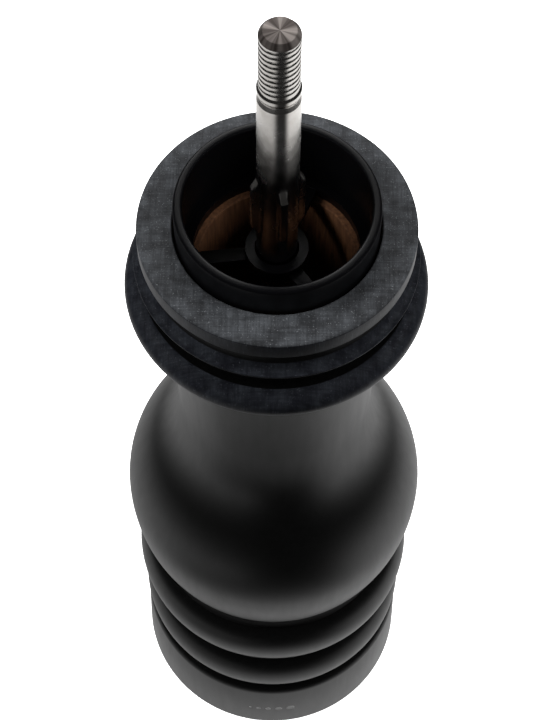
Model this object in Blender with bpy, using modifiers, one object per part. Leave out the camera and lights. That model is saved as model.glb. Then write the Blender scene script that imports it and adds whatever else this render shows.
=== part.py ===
"""A turned wooden pepper mill with its head lifted off, modelled piece by piece.

Origin: centre of the foot, on the table. +Z runs up the drive shaft, and the front faces -Y.
Every size below is in millimetres and is turned to metres by MM where a shape is made.
"""

import math

import bmesh
import bpy
from mathutils import Matrix, Vector

MM = 0.001

# --- gaps between pieces ---
REST_GAP = 0.3  # between faces that touch or slide on each other
TURN_GAP = 0.4  # round a piece that turns
SCREW_GAP = 0.3  # round a screw, in its own hole

# --- wooden body, outside ---
SEAT_Z = 171.4  # the flat top that the head sits on
SEAT_R = 23.8
SEAT_EDGE_R = 0.6
BAND_H = 3.8  # upright band under the seat
COVE_IN_R = 22.2  # hollow under the band
COVE_H = 4.5
LIP_R = 24.8
LIP_H = 0.9
THROAT_R = 22.0  # groove between the lip and the ring bead
THROAT_DROP = 0.4
COLLAR_BEAD_R = 26.8  # the fat rounded ring at the top of the neck
COLLAR_BEAD_ROUND = 3.6
COLLAR_BEAD_HALF_H = 3.3
COLLAR_BEAD_BELOW = 17.6  # its middle, below the seat
COLLAR_BEAD_ARC_DEG = 80.0
NECK_R = 18.8
NECK_BELOW = 50.0  # narrowest place, below the seat
NECK_FLARE = 2.0  # how much wider the neck is where it meets the ring bead
BELLY_R = 30.6
BELLY_Z = 76.6
BELLY_LOWER_H = 39.0  # the lower half is a taller ellipse than the upper
BELLY_TOP_DEG = 38.0
UPPER_BEAD_R = 29.9
LOWER_BEAD_R = 29.4
BEAD_DEPTH = 3.6  # how far the lower bead stands out of the hollows beside it
BEAD_ABOVE_RIM = 6.8  # middle of the lower bead, above the body's rim
BEAD_PITCH = 18.8
UPPER_BEAD_HALF_H = 7.0
LOWER_BEAD_HALF_H = 6.2
BEAD_ARC_DEG = 80.0

# --- wooden body, inside ---
MOUTH_R = 17.7  # counterbore at the top
LEDGE_BELOW = 10.4  # its floor, below the seat
CHAMBER_R = 13.4  # long bore that holds the peppercorns
SPIGOT_WALL = 4.2  # the thin skirt inside the setting ring

# --- setting ring at the foot ---
RING_H = 20.0
RING_TOP_R = 29.3
RING_WALL = 4.7
RING_FOOT_R = 29.9
RING_TOP_EDGE_R = 1.8
RING_FOOT_EDGE_R = 0.8
RING_FLANGE_T = 2.4
RING_TURN_DEG = 90.0
RING_LIFT = 1.2  # how far that turn raises the burr

# --- retaining plate under the ring ---
RETAINER_Z = 0.8
RETAINER_T = 1.4
RETAINER_LAP = 1.6  # how far it reaches under the ring's flange

# --- burr housing ---
HOUSING_FLANGE_T = 3.0
HOUSING_WALL = 2.2
FLANGE_LAP = 6.2  # how far the flange reaches past the boss that the ring turns round
BURR_PASS_GAP = 0.7  # round the inner burr's foot
SHOULDER_ABOVE_FLANGE = 0.4

# --- burrs ---
OUTER_BURR_H = 10.0
INNER_BURR_H = 11.4
BURR_RING_T = 3.7  # from the outer burr's outside to the inner burr's foot
INNER_BURR_TAPER = 4.9
BURR_GAP = 1.0  # between the teeth at the coarsest setting
OUTER_BURR_TAPER = 0.9
INNER_TEETH = 14
OUTER_TEETH = 18
TOOTH_DEPTH = 1.3
TOOTH_TWIST_DEG = 32.0

# --- carrier that lifts the burr ---
CARRIER_ARM_T = 1.6
CARRIER_ARM_W = 4.4
CARRIER_HUB_LAP = 0.6  # how far the hub reaches past the washer on it
CARRIER_HUB_H = 2.4
CARRIER_REACH_PAST_BOSS = 2.3
RAMP_T = 0.55
RAMP_GAP = 0.35
RAMP_EXTRA_DEG = 7.0

# --- washers, clip and spring on the shaft ---
THRUST_WASHER_R = 5.0
THRUST_WASHER_T = 0.8
CLIP_PROUD = 1.9  # past the shaft
CLIP_T = 0.7
CLIP_GAP_W = 3.2
SPRING_WASHER_LAP = 1.4  # past the middle of the spring's wire
SPRING_WASHER_T = 0.7
SPRING_L = 7.7
SPRING_CLEARANCE = 1.2  # from the washer's bore to the middle of the wire
SPRING_WIRE_R = 0.45
SPRING_TURNS = 5

# --- bridge over the burrs, and its bush ---
BRIDGE_T = 2.4
BRIDGE_HUB_WALL = 2.0
BRIDGE_HUB_H = 4.0
BRIDGE_RIM_W = 2.8
BRIDGE_ARM_W = 3.4
BUSH_WALL = 1.3
BUSH_FLANGE_LAP = 1.5
BUSH_FLANGE_T = 0.8

# --- guide and collar in the mouth ---
GUIDE_T = 2.0
GUIDE_LAP = 1.3  # how far its rim reaches in past the collar
GUIDE_HUB_WALL = 1.7
GUIDE_HUB_H = 3.0
GUIDE_ARM_W = 2.6
GUIDE_FIRST_ARM_DEG = 67.0
COLLAR_WALL = 1.6
COLLAR_PROUD = 5.8  # how far it stands above the seat
COLLAR_EDGE_R = 0.5

# --- drive shaft ---
SHAFT_PROUD = 50.2  # its tip, above the seat
SHAFT_R = 3.5
SHAFT_BELOW_CARRIER = 0.4
JOURNAL_R = 2.2
FLAT_DEPTH = 0.9  # how deep the flats that drive the burr are cut
FLATS_ABOVE_CLIP = 3.1
CLIP_GROOVE_DEPTH = 0.6
THREAD_R = 3.25
THREAD_DEPTH = 0.3
THREAD_PITCH = 1.1
THREAD_TURNS = 10
THREAD_CREST_SHARE = 0.15  # of the pitch, from a ridge's top to its crest
THREAD_ROOT_SHARE = 0.6  # of the pitch, from there to the root
TIP_CHAMFER = 0.65
TIP_H = 0.9
SHOULDER_GROOVE_DEPTH = 0.3  # round the shaft under the shoulder
SHOULDER_H = 1.8
SHOULDER_BEVEL = 0.9
EAR_PROUD = 1.1
EAR_W = 1.4
EAR_H = 18.0  # with the ends that lie inside the shaft
EAR_TAPER = 4.0
EAR_MIDDLE_BELOW_TOP = 43.6
EAR_TURN_DEG = 15.0

# --- screws ---
HOUSING_SCREW_HEAD_R = 1.6
HOUSING_SCREW_R = 0.8
HOUSING_SCREW_L = 10.5
RETAINER_SCREW_HEAD_R = 1.7
RETAINER_SCREW_R = 0.8
RETAINER_SCREW_L = 6.0
SCREW_HEAD_H = 1.0
SCREW_SLOT_W = 0.5
SCREW_SLOT_DEPTH = 0.45
SCREW_POINT_SHARE = 0.5  # the flat point's radius, as a share of the shank's
SCREW_FIRST_DEG = 60.0

# --- how finely round pieces are cut ---
BIG_STEPS = 36
MEDIUM_STEPS = 24
SMALL_STEPS = 12
EDGE_POINTS = 3  # round a small edge
COVE_POINTS = 4
NECK_UPPER_POINTS = 3
NECK_LOWER_POINTS = 5
BELLY_UPPER_POINTS = 6
BELLY_LOWER_POINTS = 5
BEAD_POINTS = 7
BURR_ROWS = 5
SPRING_POINTS_PER_TURN = 12
SPRING_WIRE_RESOLUTION = 2
MERGE = 0.00001
PAST = 1.0  # how far a cutter runs past what it cuts

# --- heights that follow from the sizes above, from the table up ---
RETAINER_TOP = RETAINER_Z + RETAINER_T
RING_FLANGE_Z = RETAINER_TOP + REST_GAP
RING_FLANGE_TOP = RING_FLANGE_Z + RING_FLANGE_T
HOUSING_FLANGE_Z = RING_FLANGE_TOP + REST_GAP
HOUSING_FLANGE_TOP = HOUSING_FLANGE_Z + HOUSING_FLANGE_T
SPIGOT_Z = HOUSING_FLANGE_TOP + REST_GAP
BODY_RIM_Z = RING_H + REST_GAP
LOWER_BEAD_Z = BODY_RIM_Z + BEAD_ABOVE_RIM
UPPER_BEAD_Z = LOWER_BEAD_Z + BEAD_PITCH
CARRIER_FOOT_Z = RING_FLANGE_Z + RAMP_T + RAMP_GAP
CARRIER_HUB_TOP = CARRIER_FOOT_Z + CARRIER_HUB_H
THRUST_WASHER_Z = CARRIER_HUB_TOP + REST_GAP
INNER_BURR_Z = THRUST_WASHER_Z + THRUST_WASHER_T + REST_GAP
INNER_BURR_TOP = INNER_BURR_Z + INNER_BURR_H
CLIP_Z = INNER_BURR_TOP + REST_GAP
SPRING_WASHER_Z = CLIP_Z + CLIP_T + REST_GAP
SPRING_Z = SPRING_WASHER_Z + SPRING_WASHER_T + REST_GAP
BURR_SHOULDER_Z = HOUSING_FLANGE_TOP + SHOULDER_ABOVE_FLANGE
OUTER_BURR_Z = BURR_SHOULDER_Z + REST_GAP
OUTER_BURR_TOP = OUTER_BURR_Z + OUTER_BURR_H
SPRING_TOP = SPRING_Z + SPRING_L
BUSH_Z = SPRING_TOP + REST_GAP
BRIDGE_Z = BUSH_Z + BUSH_FLANGE_T + REST_GAP
BRIDGE_TOP = BRIDGE_Z + BRIDGE_T
HOUSING_TUBE_TOP = BRIDGE_Z - REST_GAP
MECHANISM_TOP = BRIDGE_TOP + REST_GAP
LEDGE_Z = SEAT_Z - LEDGE_BELOW
GUIDE_Z = LEDGE_Z + REST_GAP
GUIDE_TOP = GUIDE_Z + GUIDE_T
COLLAR_Z = GUIDE_TOP + REST_GAP
COLLAR_TOP = SEAT_Z + COLLAR_PROUD
SHAFT_TOP = SEAT_Z + SHAFT_PROUD
SHAFT_FOOT_Z = CARRIER_FOOT_Z - SHAFT_BELOW_CARRIER
FLATS_TOP_Z = CLIP_Z + FLATS_ABOVE_CLIP
THREAD_TOP = SHAFT_TOP - TIP_H
THREAD_FOOT = THREAD_TOP - THREAD_PITCH * THREAD_TURNS

# --- radii that follow ---
VALLEY_R = LOWER_BEAD_R - BEAD_DEPTH
RING_BORE_R = RING_TOP_R - RING_WALL
SPIGOT_R = RING_BORE_R - TURN_GAP
MECHANISM_R = SPIGOT_R - SPIGOT_WALL
BOSS_R = SPIGOT_R - FLANGE_LAP
RING_FLANGE_R = BOSS_R + CARRIER_REACH_PAST_BOSS + TURN_GAP
RETAINER_R = RING_FLANGE_R + RETAINER_LAP
HOUSING_TUBE_R = MECHANISM_R - REST_GAP
HOUSING_BORE_R = HOUSING_TUBE_R - HOUSING_WALL
OUTER_BURR_R = HOUSING_BORE_R - REST_GAP
INNER_BURR_FOOT_R = OUTER_BURR_R - BURR_RING_T
INNER_BURR_TOP_R = INNER_BURR_FOOT_R - INNER_BURR_TAPER
OUTER_BURR_TOP_R = INNER_BURR_FOOT_R - OUTER_BURR_TAPER
BOSS_BORE_R = INNER_BURR_FOOT_R + BURR_PASS_GAP
HOUSING_SCREW_CIRCLE_R = (SPIGOT_R + HOUSING_TUBE_R) / 2
RETAINER_SCREW_CIRCLE_R = (BOSS_R + BOSS_BORE_R) / 2
CARRIER_HUB_R = THRUST_WASHER_R + CARRIER_HUB_LAP
SHAFT_BORE_R = SHAFT_R + REST_GAP
FLAT_HALF_W = SHAFT_R - FLAT_DEPTH
CLIP_GROOVE_R = SHAFT_R - CLIP_GROOVE_DEPTH
CLIP_R = SHAFT_R + CLIP_PROUD
SHOULDER_GROOVE_R = SHAFT_R - SHOULDER_GROOVE_DEPTH
EAR_R = SHAFT_R + EAR_PROUD
TIP_R = THREAD_R - TIP_CHAMFER
BUSH_R = SHAFT_BORE_R + BUSH_WALL
BUSH_FLANGE_R = BUSH_R + BUSH_FLANGE_LAP
BRIDGE_HUB_R = BUSH_R + REST_GAP + BRIDGE_HUB_WALL
SPRING_R = SHAFT_BORE_R + SPRING_CLEARANCE  # to the middle of the wire
SPRING_WASHER_R = SPRING_R + SPRING_WASHER_LAP
COLLAR_R = MOUTH_R - REST_GAP
COLLAR_BORE_R = COLLAR_R - COLLAR_WALL
GUIDE_OPENING_R = COLLAR_BORE_R - GUIDE_LAP
GUIDE_HUB_R = SHAFT_BORE_R + GUIDE_HUB_WALL


# ---------------------------------------------------------------- helpers


def clear_scene():
    """Removes what is in the scene, so that the script can be run again."""
    for old in list(bpy.data.objects):
        bpy.data.objects.remove(old, do_unlink=True)
    for old in list(bpy.data.collections):
        bpy.data.collections.remove(old)


def new_collection(name):
    made = bpy.data.collections.new(name)
    bpy.context.scene.collection.children.link(made)
    return made


def material(name, colour, roughness, metallic=0.0):
    """A Principled material of one colour (linear RGB)."""
    made = bpy.data.materials.new(name)
    made.use_nodes = True
    shader = made.node_tree.nodes["Principled BSDF"]
    shader.inputs["Base Color"].default_value = (*colour, 1.0)
    shader.inputs["Roughness"].default_value = roughness
    shader.inputs["Metallic"].default_value = metallic
    made.diffuse_color = (*colour, 1.0)
    return made


def place(mesh, name, collection):
    """Makes an object of a mesh, in one of the two collections."""
    made = bpy.data.objects.new(name, mesh)
    collection.objects.link(made)
    if collection is CUTTERS:
        made.hide_render = True
        made.display_type = "WIRE"
    return made


def arc(middle_r, middle_z, half_w, half_h, start_deg, end_deg, count):
    """Points on an ellipse in the (radius, height) plane, from one angle to another."""
    points = []
    for i in range(count):
        a = math.radians(start_deg + (end_deg - start_deg) * i / (count - 1))
        points.append((middle_r + half_w * math.cos(a), middle_z + half_h * math.sin(a)))
    return points


def turned(name, outline, steps, collection=None):
    """A turned piece: its (radius, height) outline in mm, screwed round the Z axis.

    An outline that begins and ends on the axis is an open chain. Any other is closed into a loop.
    """
    on_axis = outline[0][0] == 0 and outline[-1][0] == 0
    count = len(outline)
    edges = [(i, i + 1) for i in range(count - 1)]
    if not on_axis:
        edges.append((count - 1, 0))
    mesh = bpy.data.meshes.new(name)
    mesh.from_pydata([(r * MM, 0, z * MM) for r, z in outline], edges, [])
    made = place(mesh, name, collection or PARTS)
    screw = made.modifiers.new("turn", "SCREW")
    screw.axis = "Z"
    screw.angle = math.tau
    screw.steps = steps
    screw.render_steps = steps
    screw.use_merge_vertices = True
    screw.merge_threshold = MERGE
    screw.use_smooth_shade = True
    return made


def box(name, low, high, turn_deg=0.0, collection=None):
    """A box between two corners in mm, turned about the Z axis."""
    bm = bmesh.new()
    bmesh.ops.create_cube(bm, size=1.0)
    size = [(b - a) * MM for a, b in zip(low, high)]
    middle = [(a + b) / 2 * MM for a, b in zip(low, high)]
    bm.transform(Matrix.Translation(middle) @ Matrix.Diagonal((*size, 1.0)))
    mesh = bpy.data.meshes.new(name)
    bm.to_mesh(mesh)
    bm.free()
    made = place(mesh, name, collection or CUTTERS)
    made.rotation_euler.z = math.radians(turn_deg)
    return made


def boolean(target, tool, operation):
    made = target.modifiers.new(operation.lower() + "_" + tool.name, "BOOLEAN")
    made.operation = operation
    made.solver = "EXACT"
    made.object = tool


def cut(target, tool):
    boolean(target, tool, "DIFFERENCE")


def join(target, tool):
    boolean(target, tool, "UNION")


def round_hole(target, name, radius, low, high, x=0.0, y=0.0):
    """Cuts a round hole along Z at (x, y), between two heights in mm."""
    tool = turned(name, [(0, high), (radius, high), (radius, low), (0, low)], SMALL_STEPS, CUTTERS)
    tool.location = (x * MM, y * MM, 0)
    cut(target, tool)


def on_circle(radius, degrees):
    a = math.radians(degrees)
    return radius * math.cos(a), radius * math.sin(a)


def thirds(first_deg):
    """Three directions a third of a turn apart."""
    return [first_deg + 120.0 * i for i in range(3)]


def plate_mesh(name, outline, thickness):
    """A flat outline in mm, in the (radius, height) plane, made into a solid that straddles it."""
    curve = bpy.data.curves.new(name, "CURVE")
    curve.dimensions = "2D"
    curve.fill_mode = "BOTH"
    curve.extrude = thickness / 2 * MM
    line = curve.splines.new("POLY")
    line.points.add(len(outline) - 1)
    for point, (r, z) in zip(line.points, outline):
        point.co = (r * MM, z * MM, 0, 1)
    line.use_cyclic_u = True
    drawn = bpy.data.objects.new(name, curve)
    CUTTERS.objects.link(drawn)
    bpy.context.view_layer.update()
    evaluated = drawn.evaluated_get(bpy.context.evaluated_depsgraph_get())
    mesh = bpy.data.meshes.new_from_object(evaluated)
    bpy.data.objects.remove(drawn)
    bm = bmesh.new()
    bm.from_mesh(mesh)
    bmesh.ops.remove_doubles(bm, verts=bm.verts, dist=MERGE)
    bm.transform(Matrix.Rotation(math.pi / 2, 4, "X"))
    bmesh.ops.recalc_face_normals(bm, faces=bm.faces)
    bm.to_mesh(mesh)
    bm.free()
    return mesh


def fluted(name, teeth, rows, collection):
    """A toothed plug, lofted between star-shaped rows of (height, tip radius, root radius, turn)."""
    bm = bmesh.new()
    rings = []
    for z, tip, root, turn_deg in rows:
        ring = []
        for i in range(2 * teeth):
            a = math.radians(turn_deg) + math.pi * i / teeth
            r = tip if i % 2 == 0 else root
            ring.append(bm.verts.new((r * math.cos(a) * MM, r * math.sin(a) * MM, z * MM)))
        rings.append(ring)
    for lower, upper in zip(rings, rings[1:]):
        for i in range(2 * teeth):
            j = (i + 1) % (2 * teeth)
            bm.faces.new((lower[i], lower[j], upper[j], upper[i]))
    bm.faces.new(list(reversed(rings[0])))
    bm.faces.new(rings[-1])
    bmesh.ops.recalc_face_normals(bm, faces=bm.faces)
    mesh = bpy.data.meshes.new(name)
    bm.to_mesh(mesh)
    bm.free()
    return place(mesh, name, collection)


def ramp(name, inner_r, outer_r, low, start_deg, end_deg, rise, collection):
    """A rectangle swept round the Z axis while it climbs: a helical ramp of thickness RAMP_T."""
    bm = bmesh.new()
    corners = [(inner_r, low), (outer_r, low), (outer_r, low + RAMP_T), (inner_r, low + RAMP_T)]
    first = bm.faces.new([bm.verts.new((r * MM, 0, z * MM)) for r, z in corners])
    bm.transform(Matrix.Rotation(math.radians(start_deg), 4, "Z"))
    steps = MEDIUM_STEPS // 2
    bmesh.ops.spin(
        bm,
        geom=[first, *first.edges, *first.verts],
        cent=Vector(),
        axis=Vector((0, 0, 1)),
        dvec=Vector((0, 0, rise * MM / steps)),
        angle=math.radians(end_deg - start_deg),
        steps=steps,
    )
    bmesh.ops.recalc_face_normals(bm, faces=bm.faces)
    mesh = bpy.data.meshes.new(name)
    bm.to_mesh(mesh)
    bm.free()
    return place(mesh, name, collection)


def finish(piece, paint):
    """Gives a piece its material."""
    piece.data.materials.append(paint)


# ---------------------------------------------------------------- wooden body


def head_end_outline():
    """The turned top of the body: seat, band, cove, lip, throat and ring bead, top to bottom."""
    band_foot = SEAT_Z - BAND_H
    cove_top = band_foot - THROAT_DROP
    lip_top = cove_top - COVE_H
    bead_z = SEAT_Z - COLLAR_BEAD_BELOW
    bead_middle_r = COLLAR_BEAD_R - COLLAR_BEAD_ROUND
    edge = SEAT_EDGE_R
    half_h = COLLAR_BEAD_HALF_H
    turn = COLLAR_BEAD_ARC_DEG
    points = arc(SEAT_R - edge, SEAT_Z - edge, edge, edge, 90, 0, EDGE_POINTS)
    points += [(SEAT_R, band_foot)]
    points += arc(LIP_R, cove_top, COVE_IN_R - LIP_R, -COVE_H, 0, 90, COVE_POINTS)
    points += [(LIP_R, lip_top - LIP_H), (THROAT_R, lip_top - LIP_H - THROAT_DROP)]
    points += [(THROAT_R, bead_z + half_h)]
    points += arc(bead_middle_r, bead_z, COLLAR_BEAD_ROUND, half_h, turn, -turn, BEAD_POINTS)
    return points


def neck_outline():
    """The neck: from its narrowest place it swells smoothly into the upper belly."""
    start_z = SEAT_Z - NECK_BELOW
    top = math.radians(BELLY_TOP_DEG)
    end_r = BELLY_R * math.cos(top)
    end_z = BELLY_Z + BELLY_R * math.sin(top)
    drop = start_z - end_z
    end_slope = math.tan(top) * drop
    bead_foot = SEAT_Z - COLLAR_BEAD_BELOW - COLLAR_BEAD_HALF_H
    points = []
    for i in range(NECK_UPPER_POINTS):
        t = i / NECK_UPPER_POINTS
        points.append((NECK_R + NECK_FLARE * (1 - t) ** 2, bead_foot + (start_z - bead_foot) * t))
    for i in range(NECK_LOWER_POINTS):
        t = i / NECK_LOWER_POINTS
        r = NECK_R + (end_r - NECK_R) * t * t * (3 - 2 * t) + end_slope * t * t * (t - 1)
        points.append((r, start_z - drop * t))
    return points


def foot_outline():
    """The belly and the two beads under it, down to the rim over the setting ring."""
    low_deg = -math.degrees(math.acos(VALLEY_R / BELLY_R))
    points = arc(0, BELLY_Z, BELLY_R, BELLY_R, BELLY_TOP_DEG, 0, BELLY_UPPER_POINTS)
    points += arc(0, BELLY_Z, BELLY_R, BELLY_LOWER_H, 0, low_deg, BELLY_LOWER_POINTS)[1:]
    upper = (UPPER_BEAD_Z, UPPER_BEAD_R - VALLEY_R, UPPER_BEAD_HALF_H)
    lower = (LOWER_BEAD_Z, BEAD_DEPTH, LOWER_BEAD_HALF_H)
    for z, depth, half_h in (upper, lower):
        points += arc(VALLEY_R, z, depth, half_h, BEAD_ARC_DEG, -BEAD_ARC_DEG, BEAD_POINTS)
    points.append((VALLEY_R, BODY_RIM_Z + REST_GAP))
    return points


def bore_outline():
    """The spigot and the stepped bore, bottom to top."""
    return [
        (VALLEY_R, BODY_RIM_Z),
        (SPIGOT_R, BODY_RIM_Z),
        (SPIGOT_R, SPIGOT_Z),
        (MECHANISM_R, SPIGOT_Z),
        (MECHANISM_R, MECHANISM_TOP),
        (CHAMBER_R, MECHANISM_TOP),
        (CHAMBER_R, LEDGE_Z),
        (MOUTH_R, LEDGE_Z),
        (MOUTH_R, SEAT_Z),
    ]


def make_body():
    outline = head_end_outline() + neck_outline() + foot_outline() + bore_outline()
    body = turned("body", outline, BIG_STEPS)
    for i, degrees in enumerate(thirds(SCREW_FIRST_DEG)):
        x, y = on_circle(HOUSING_SCREW_CIRCLE_R, degrees)
        top = HOUSING_FLANGE_Z + HOUSING_SCREW_L + REST_GAP
        radius = HOUSING_SCREW_R + SCREW_GAP
        round_hole(body, f"body_pilot_{i + 1}", radius, SPIGOT_Z - PAST, top, x, y)
    finish(body, BLACK_WOOD)


# ---------------------------------------------------------------- mouth


def make_collar():
    """The plain black sleeve that the head turns on. It stands proud of the seat."""
    edge = COLLAR_EDGE_R
    outline = arc(COLLAR_R - edge, COLLAR_TOP - edge, edge, edge, 90, 0, EDGE_POINTS)
    outline += [(COLLAR_R, COLLAR_Z), (COLLAR_BORE_R, COLLAR_Z)]
    outline += arc(COLLAR_BORE_R + edge, COLLAR_TOP - edge, edge, edge, 180, 90, EDGE_POINTS)
    finish(turned("collar_bush", outline, BIG_STEPS), BLACK_PLASTIC)


def spider(name, rim, hub, arm_w, first_deg, low, high):
    """A rim and a hub, given as outlines, joined by three arms between two heights."""
    made = turned(name, hub, BIG_STEPS)
    join(made, turned(name + "_rim", rim, BIG_STEPS, CUTTERS))
    inner = (hub[0][0] + hub[-1][0]) / 2
    outer = (rim[0][0] + rim[-1][0]) / 2
    for i, degrees in enumerate(thirds(first_deg)):
        corners = (inner, -arm_w / 2, low), (outer, arm_w / 2, high)
        join(made, box(f"{name}_arm_{i + 1}", *corners, degrees))
    return made


def ring_outline(outer_r, inner_r, low, high):
    return [(outer_r, high), (outer_r, low), (inner_r, low), (inner_r, high)]


def make_guide():
    """The three-armed spider on the ledge that keeps the shaft in the middle of the mouth."""
    rim = ring_outline(COLLAR_R, GUIDE_OPENING_R, GUIDE_Z, GUIDE_TOP)
    hub = ring_outline(GUIDE_HUB_R, SHAFT_BORE_R, GUIDE_Z, GUIDE_Z + GUIDE_HUB_H)
    low = GUIDE_Z + REST_GAP
    high = GUIDE_TOP - REST_GAP
    guide = spider("shaft_guide", rim, hub, GUIDE_ARM_W, GUIDE_FIRST_ARM_DEG, low, high)
    finish(guide, BLACK_PLASTIC)


# ---------------------------------------------------------------- mechanism


def make_bridge():
    """The metal bridge over the burrs, and the flanged bush in it that the shaft turns in."""
    rim = ring_outline(HOUSING_TUBE_R, HOUSING_TUBE_R - BRIDGE_RIM_W, BRIDGE_Z, BRIDGE_TOP)
    hub = ring_outline(BRIDGE_HUB_R, BUSH_R + REST_GAP, BRIDGE_Z, BRIDGE_Z + BRIDGE_HUB_H)
    low = BRIDGE_Z + REST_GAP
    high = BRIDGE_TOP - REST_GAP
    finish(spider("shaft_bridge", rim, hub, BRIDGE_ARM_W, 0, low, high), CAST_METAL)
    outline = [
        (BUSH_R, BRIDGE_Z + BRIDGE_HUB_H),
        (BUSH_R, BRIDGE_Z - REST_GAP),
        (BUSH_FLANGE_R, BRIDGE_Z - REST_GAP),
        (BUSH_FLANGE_R, BUSH_Z),
        (SHAFT_BORE_R, BUSH_Z),
        (SHAFT_BORE_R, BRIDGE_Z + BRIDGE_HUB_H),
    ]
    finish(turned("bridge_bush", outline, MEDIUM_STEPS), BRONZE)


def make_housing():
    """The flanged cup that holds the outer burr, screwed to the body's foot."""
    outline = [
        (HOUSING_TUBE_R, HOUSING_TUBE_TOP),
        (HOUSING_TUBE_R, HOUSING_FLANGE_TOP),
        (SPIGOT_R, HOUSING_FLANGE_TOP),
        (SPIGOT_R, HOUSING_FLANGE_Z),
        (BOSS_R, HOUSING_FLANGE_Z),
        (BOSS_R, RING_FLANGE_Z),
        (BOSS_BORE_R, RING_FLANGE_Z),
        (BOSS_BORE_R, BURR_SHOULDER_Z),
        (HOUSING_BORE_R, BURR_SHOULDER_Z),
        (HOUSING_BORE_R, HOUSING_TUBE_TOP),
    ]
    housing = turned("burr_housing", outline, BIG_STEPS)
    slot_top = CARRIER_FOOT_Z + CARRIER_ARM_T + RING_LIFT + REST_GAP
    half_w = CARRIER_ARM_W / 2 + TURN_GAP
    for i, degrees in enumerate(thirds(0)):
        low = (BOSS_BORE_R - PAST, -half_w, RING_FLANGE_Z - PAST)
        high = (RING_FLANGE_R, half_w, slot_top)
        cut(housing, box(f"housing_slot_{i + 1}", low, high, degrees))
    for i, degrees in enumerate(thirds(SCREW_FIRST_DEG)):
        x, y = on_circle(HOUSING_SCREW_CIRCLE_R, degrees)
        sink_top = HOUSING_FLANGE_Z + SCREW_HEAD_H + REST_GAP
        head_r = HOUSING_SCREW_HEAD_R + SCREW_GAP
        shank_r = HOUSING_SCREW_R + SCREW_GAP
        through = HOUSING_FLANGE_TOP + PAST
        start = HOUSING_FLANGE_Z - PAST
        round_hole(housing, f"housing_sink_{i + 1}", head_r, start, sink_top, x, y)
        round_hole(housing, f"housing_hole_{i + 1}", shank_r, start, through, x, y)
        x, y = on_circle(RETAINER_SCREW_CIRCLE_R, degrees)
        end = RETAINER_Z + RETAINER_SCREW_L + REST_GAP
        radius = RETAINER_SCREW_R + SCREW_GAP
        round_hole(housing, f"boss_pilot_{i + 1}", radius, RING_FLANGE_Z - PAST, end, x, y)
    finish(housing, CAST_METAL)


def burr_rows(foot_z, top_z, foot_tip, top_tip, root_step, twist_deg):
    """Rows for a toothed cone: the teeth lean over as they climb."""
    rows = []
    for i in range(BURR_ROWS):
        t = i / (BURR_ROWS - 1)
        tip = foot_tip + (top_tip - foot_tip) * t
        z = foot_z + (top_z - foot_z) * t
        rows.append((z, tip, tip + root_step, twist_deg * t))
    return rows


def make_inner_burr():
    """The toothed cone that turns with the shaft."""
    top = (INNER_BURR_TOP, INNER_BURR_TOP_R)
    foot = (INNER_BURR_Z, INNER_BURR_FOOT_R)
    rows = burr_rows(foot[0], top[0], foot[1], top[1], -TOOTH_DEPTH, TOOTH_TWIST_DEG)
    burr = fluted("inner_burr", INNER_TEETH, rows, PARTS)
    half = FLAT_HALF_W + REST_GAP
    low = (-half, -half, INNER_BURR_Z - PAST)
    high = (half, half, INNER_BURR_TOP + PAST)
    cut(burr, box("burr_drive_hole", low, high))
    finish(burr, HARD_STEEL)


def make_outer_burr():
    """The fixed toothed ring. Its teeth stand BURR_GAP clear of the cone's at the coarse setting."""
    slope = (INNER_BURR_FOOT_R - INNER_BURR_TOP_R) / INNER_BURR_H
    foot_r = INNER_BURR_FOOT_R - slope * (OUTER_BURR_Z - INNER_BURR_Z) + BURR_GAP
    outline = ring_outline(OUTER_BURR_R, 0, OUTER_BURR_Z, OUTER_BURR_TOP)
    burr = turned("outer_burr", [outline[-1], *outline[:-1]], BIG_STEPS)
    over = PAST / OUTER_BURR_H
    step = (OUTER_BURR_TOP_R - foot_r) * over
    rows = burr_rows(
        OUTER_BURR_Z - PAST,
        OUTER_BURR_TOP + PAST,
        foot_r + TOOTH_DEPTH - step,
        OUTER_BURR_TOP_R + TOOTH_DEPTH + step,
        -TOOTH_DEPTH,
        -TOOTH_TWIST_DEG,
    )
    cut(burr, fluted("outer_burr_bore", OUTER_TEETH, rows, CUTTERS))
    finish(burr, HARD_STEEL)


def make_carrier():
    """The three-armed step bearing that the shaft stands in. The ring's ramps lift its arms."""
    hub = [
        (CARRIER_HUB_R, CARRIER_HUB_TOP),
        (CARRIER_HUB_R, CARRIER_FOOT_Z),
        (JOURNAL_R + REST_GAP, CARRIER_FOOT_Z),
        (JOURNAL_R + REST_GAP, CARRIER_HUB_TOP),
    ]
    carrier = turned("adjust_carrier", hub, MEDIUM_STEPS)
    inner = (CARRIER_HUB_R + JOURNAL_R) / 2
    outer = BOSS_R + CARRIER_REACH_PAST_BOSS
    low = CARRIER_FOOT_Z
    high = CARRIER_FOOT_Z + CARRIER_ARM_T
    for i, degrees in enumerate(thirds(0)):
        corners = (inner, -CARRIER_ARM_W / 2, low), (outer, CARRIER_ARM_W / 2, high)
        join(carrier, box(f"carrier_arm_{i + 1}", *corners, degrees))
    finish(carrier, CAST_METAL)


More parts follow.
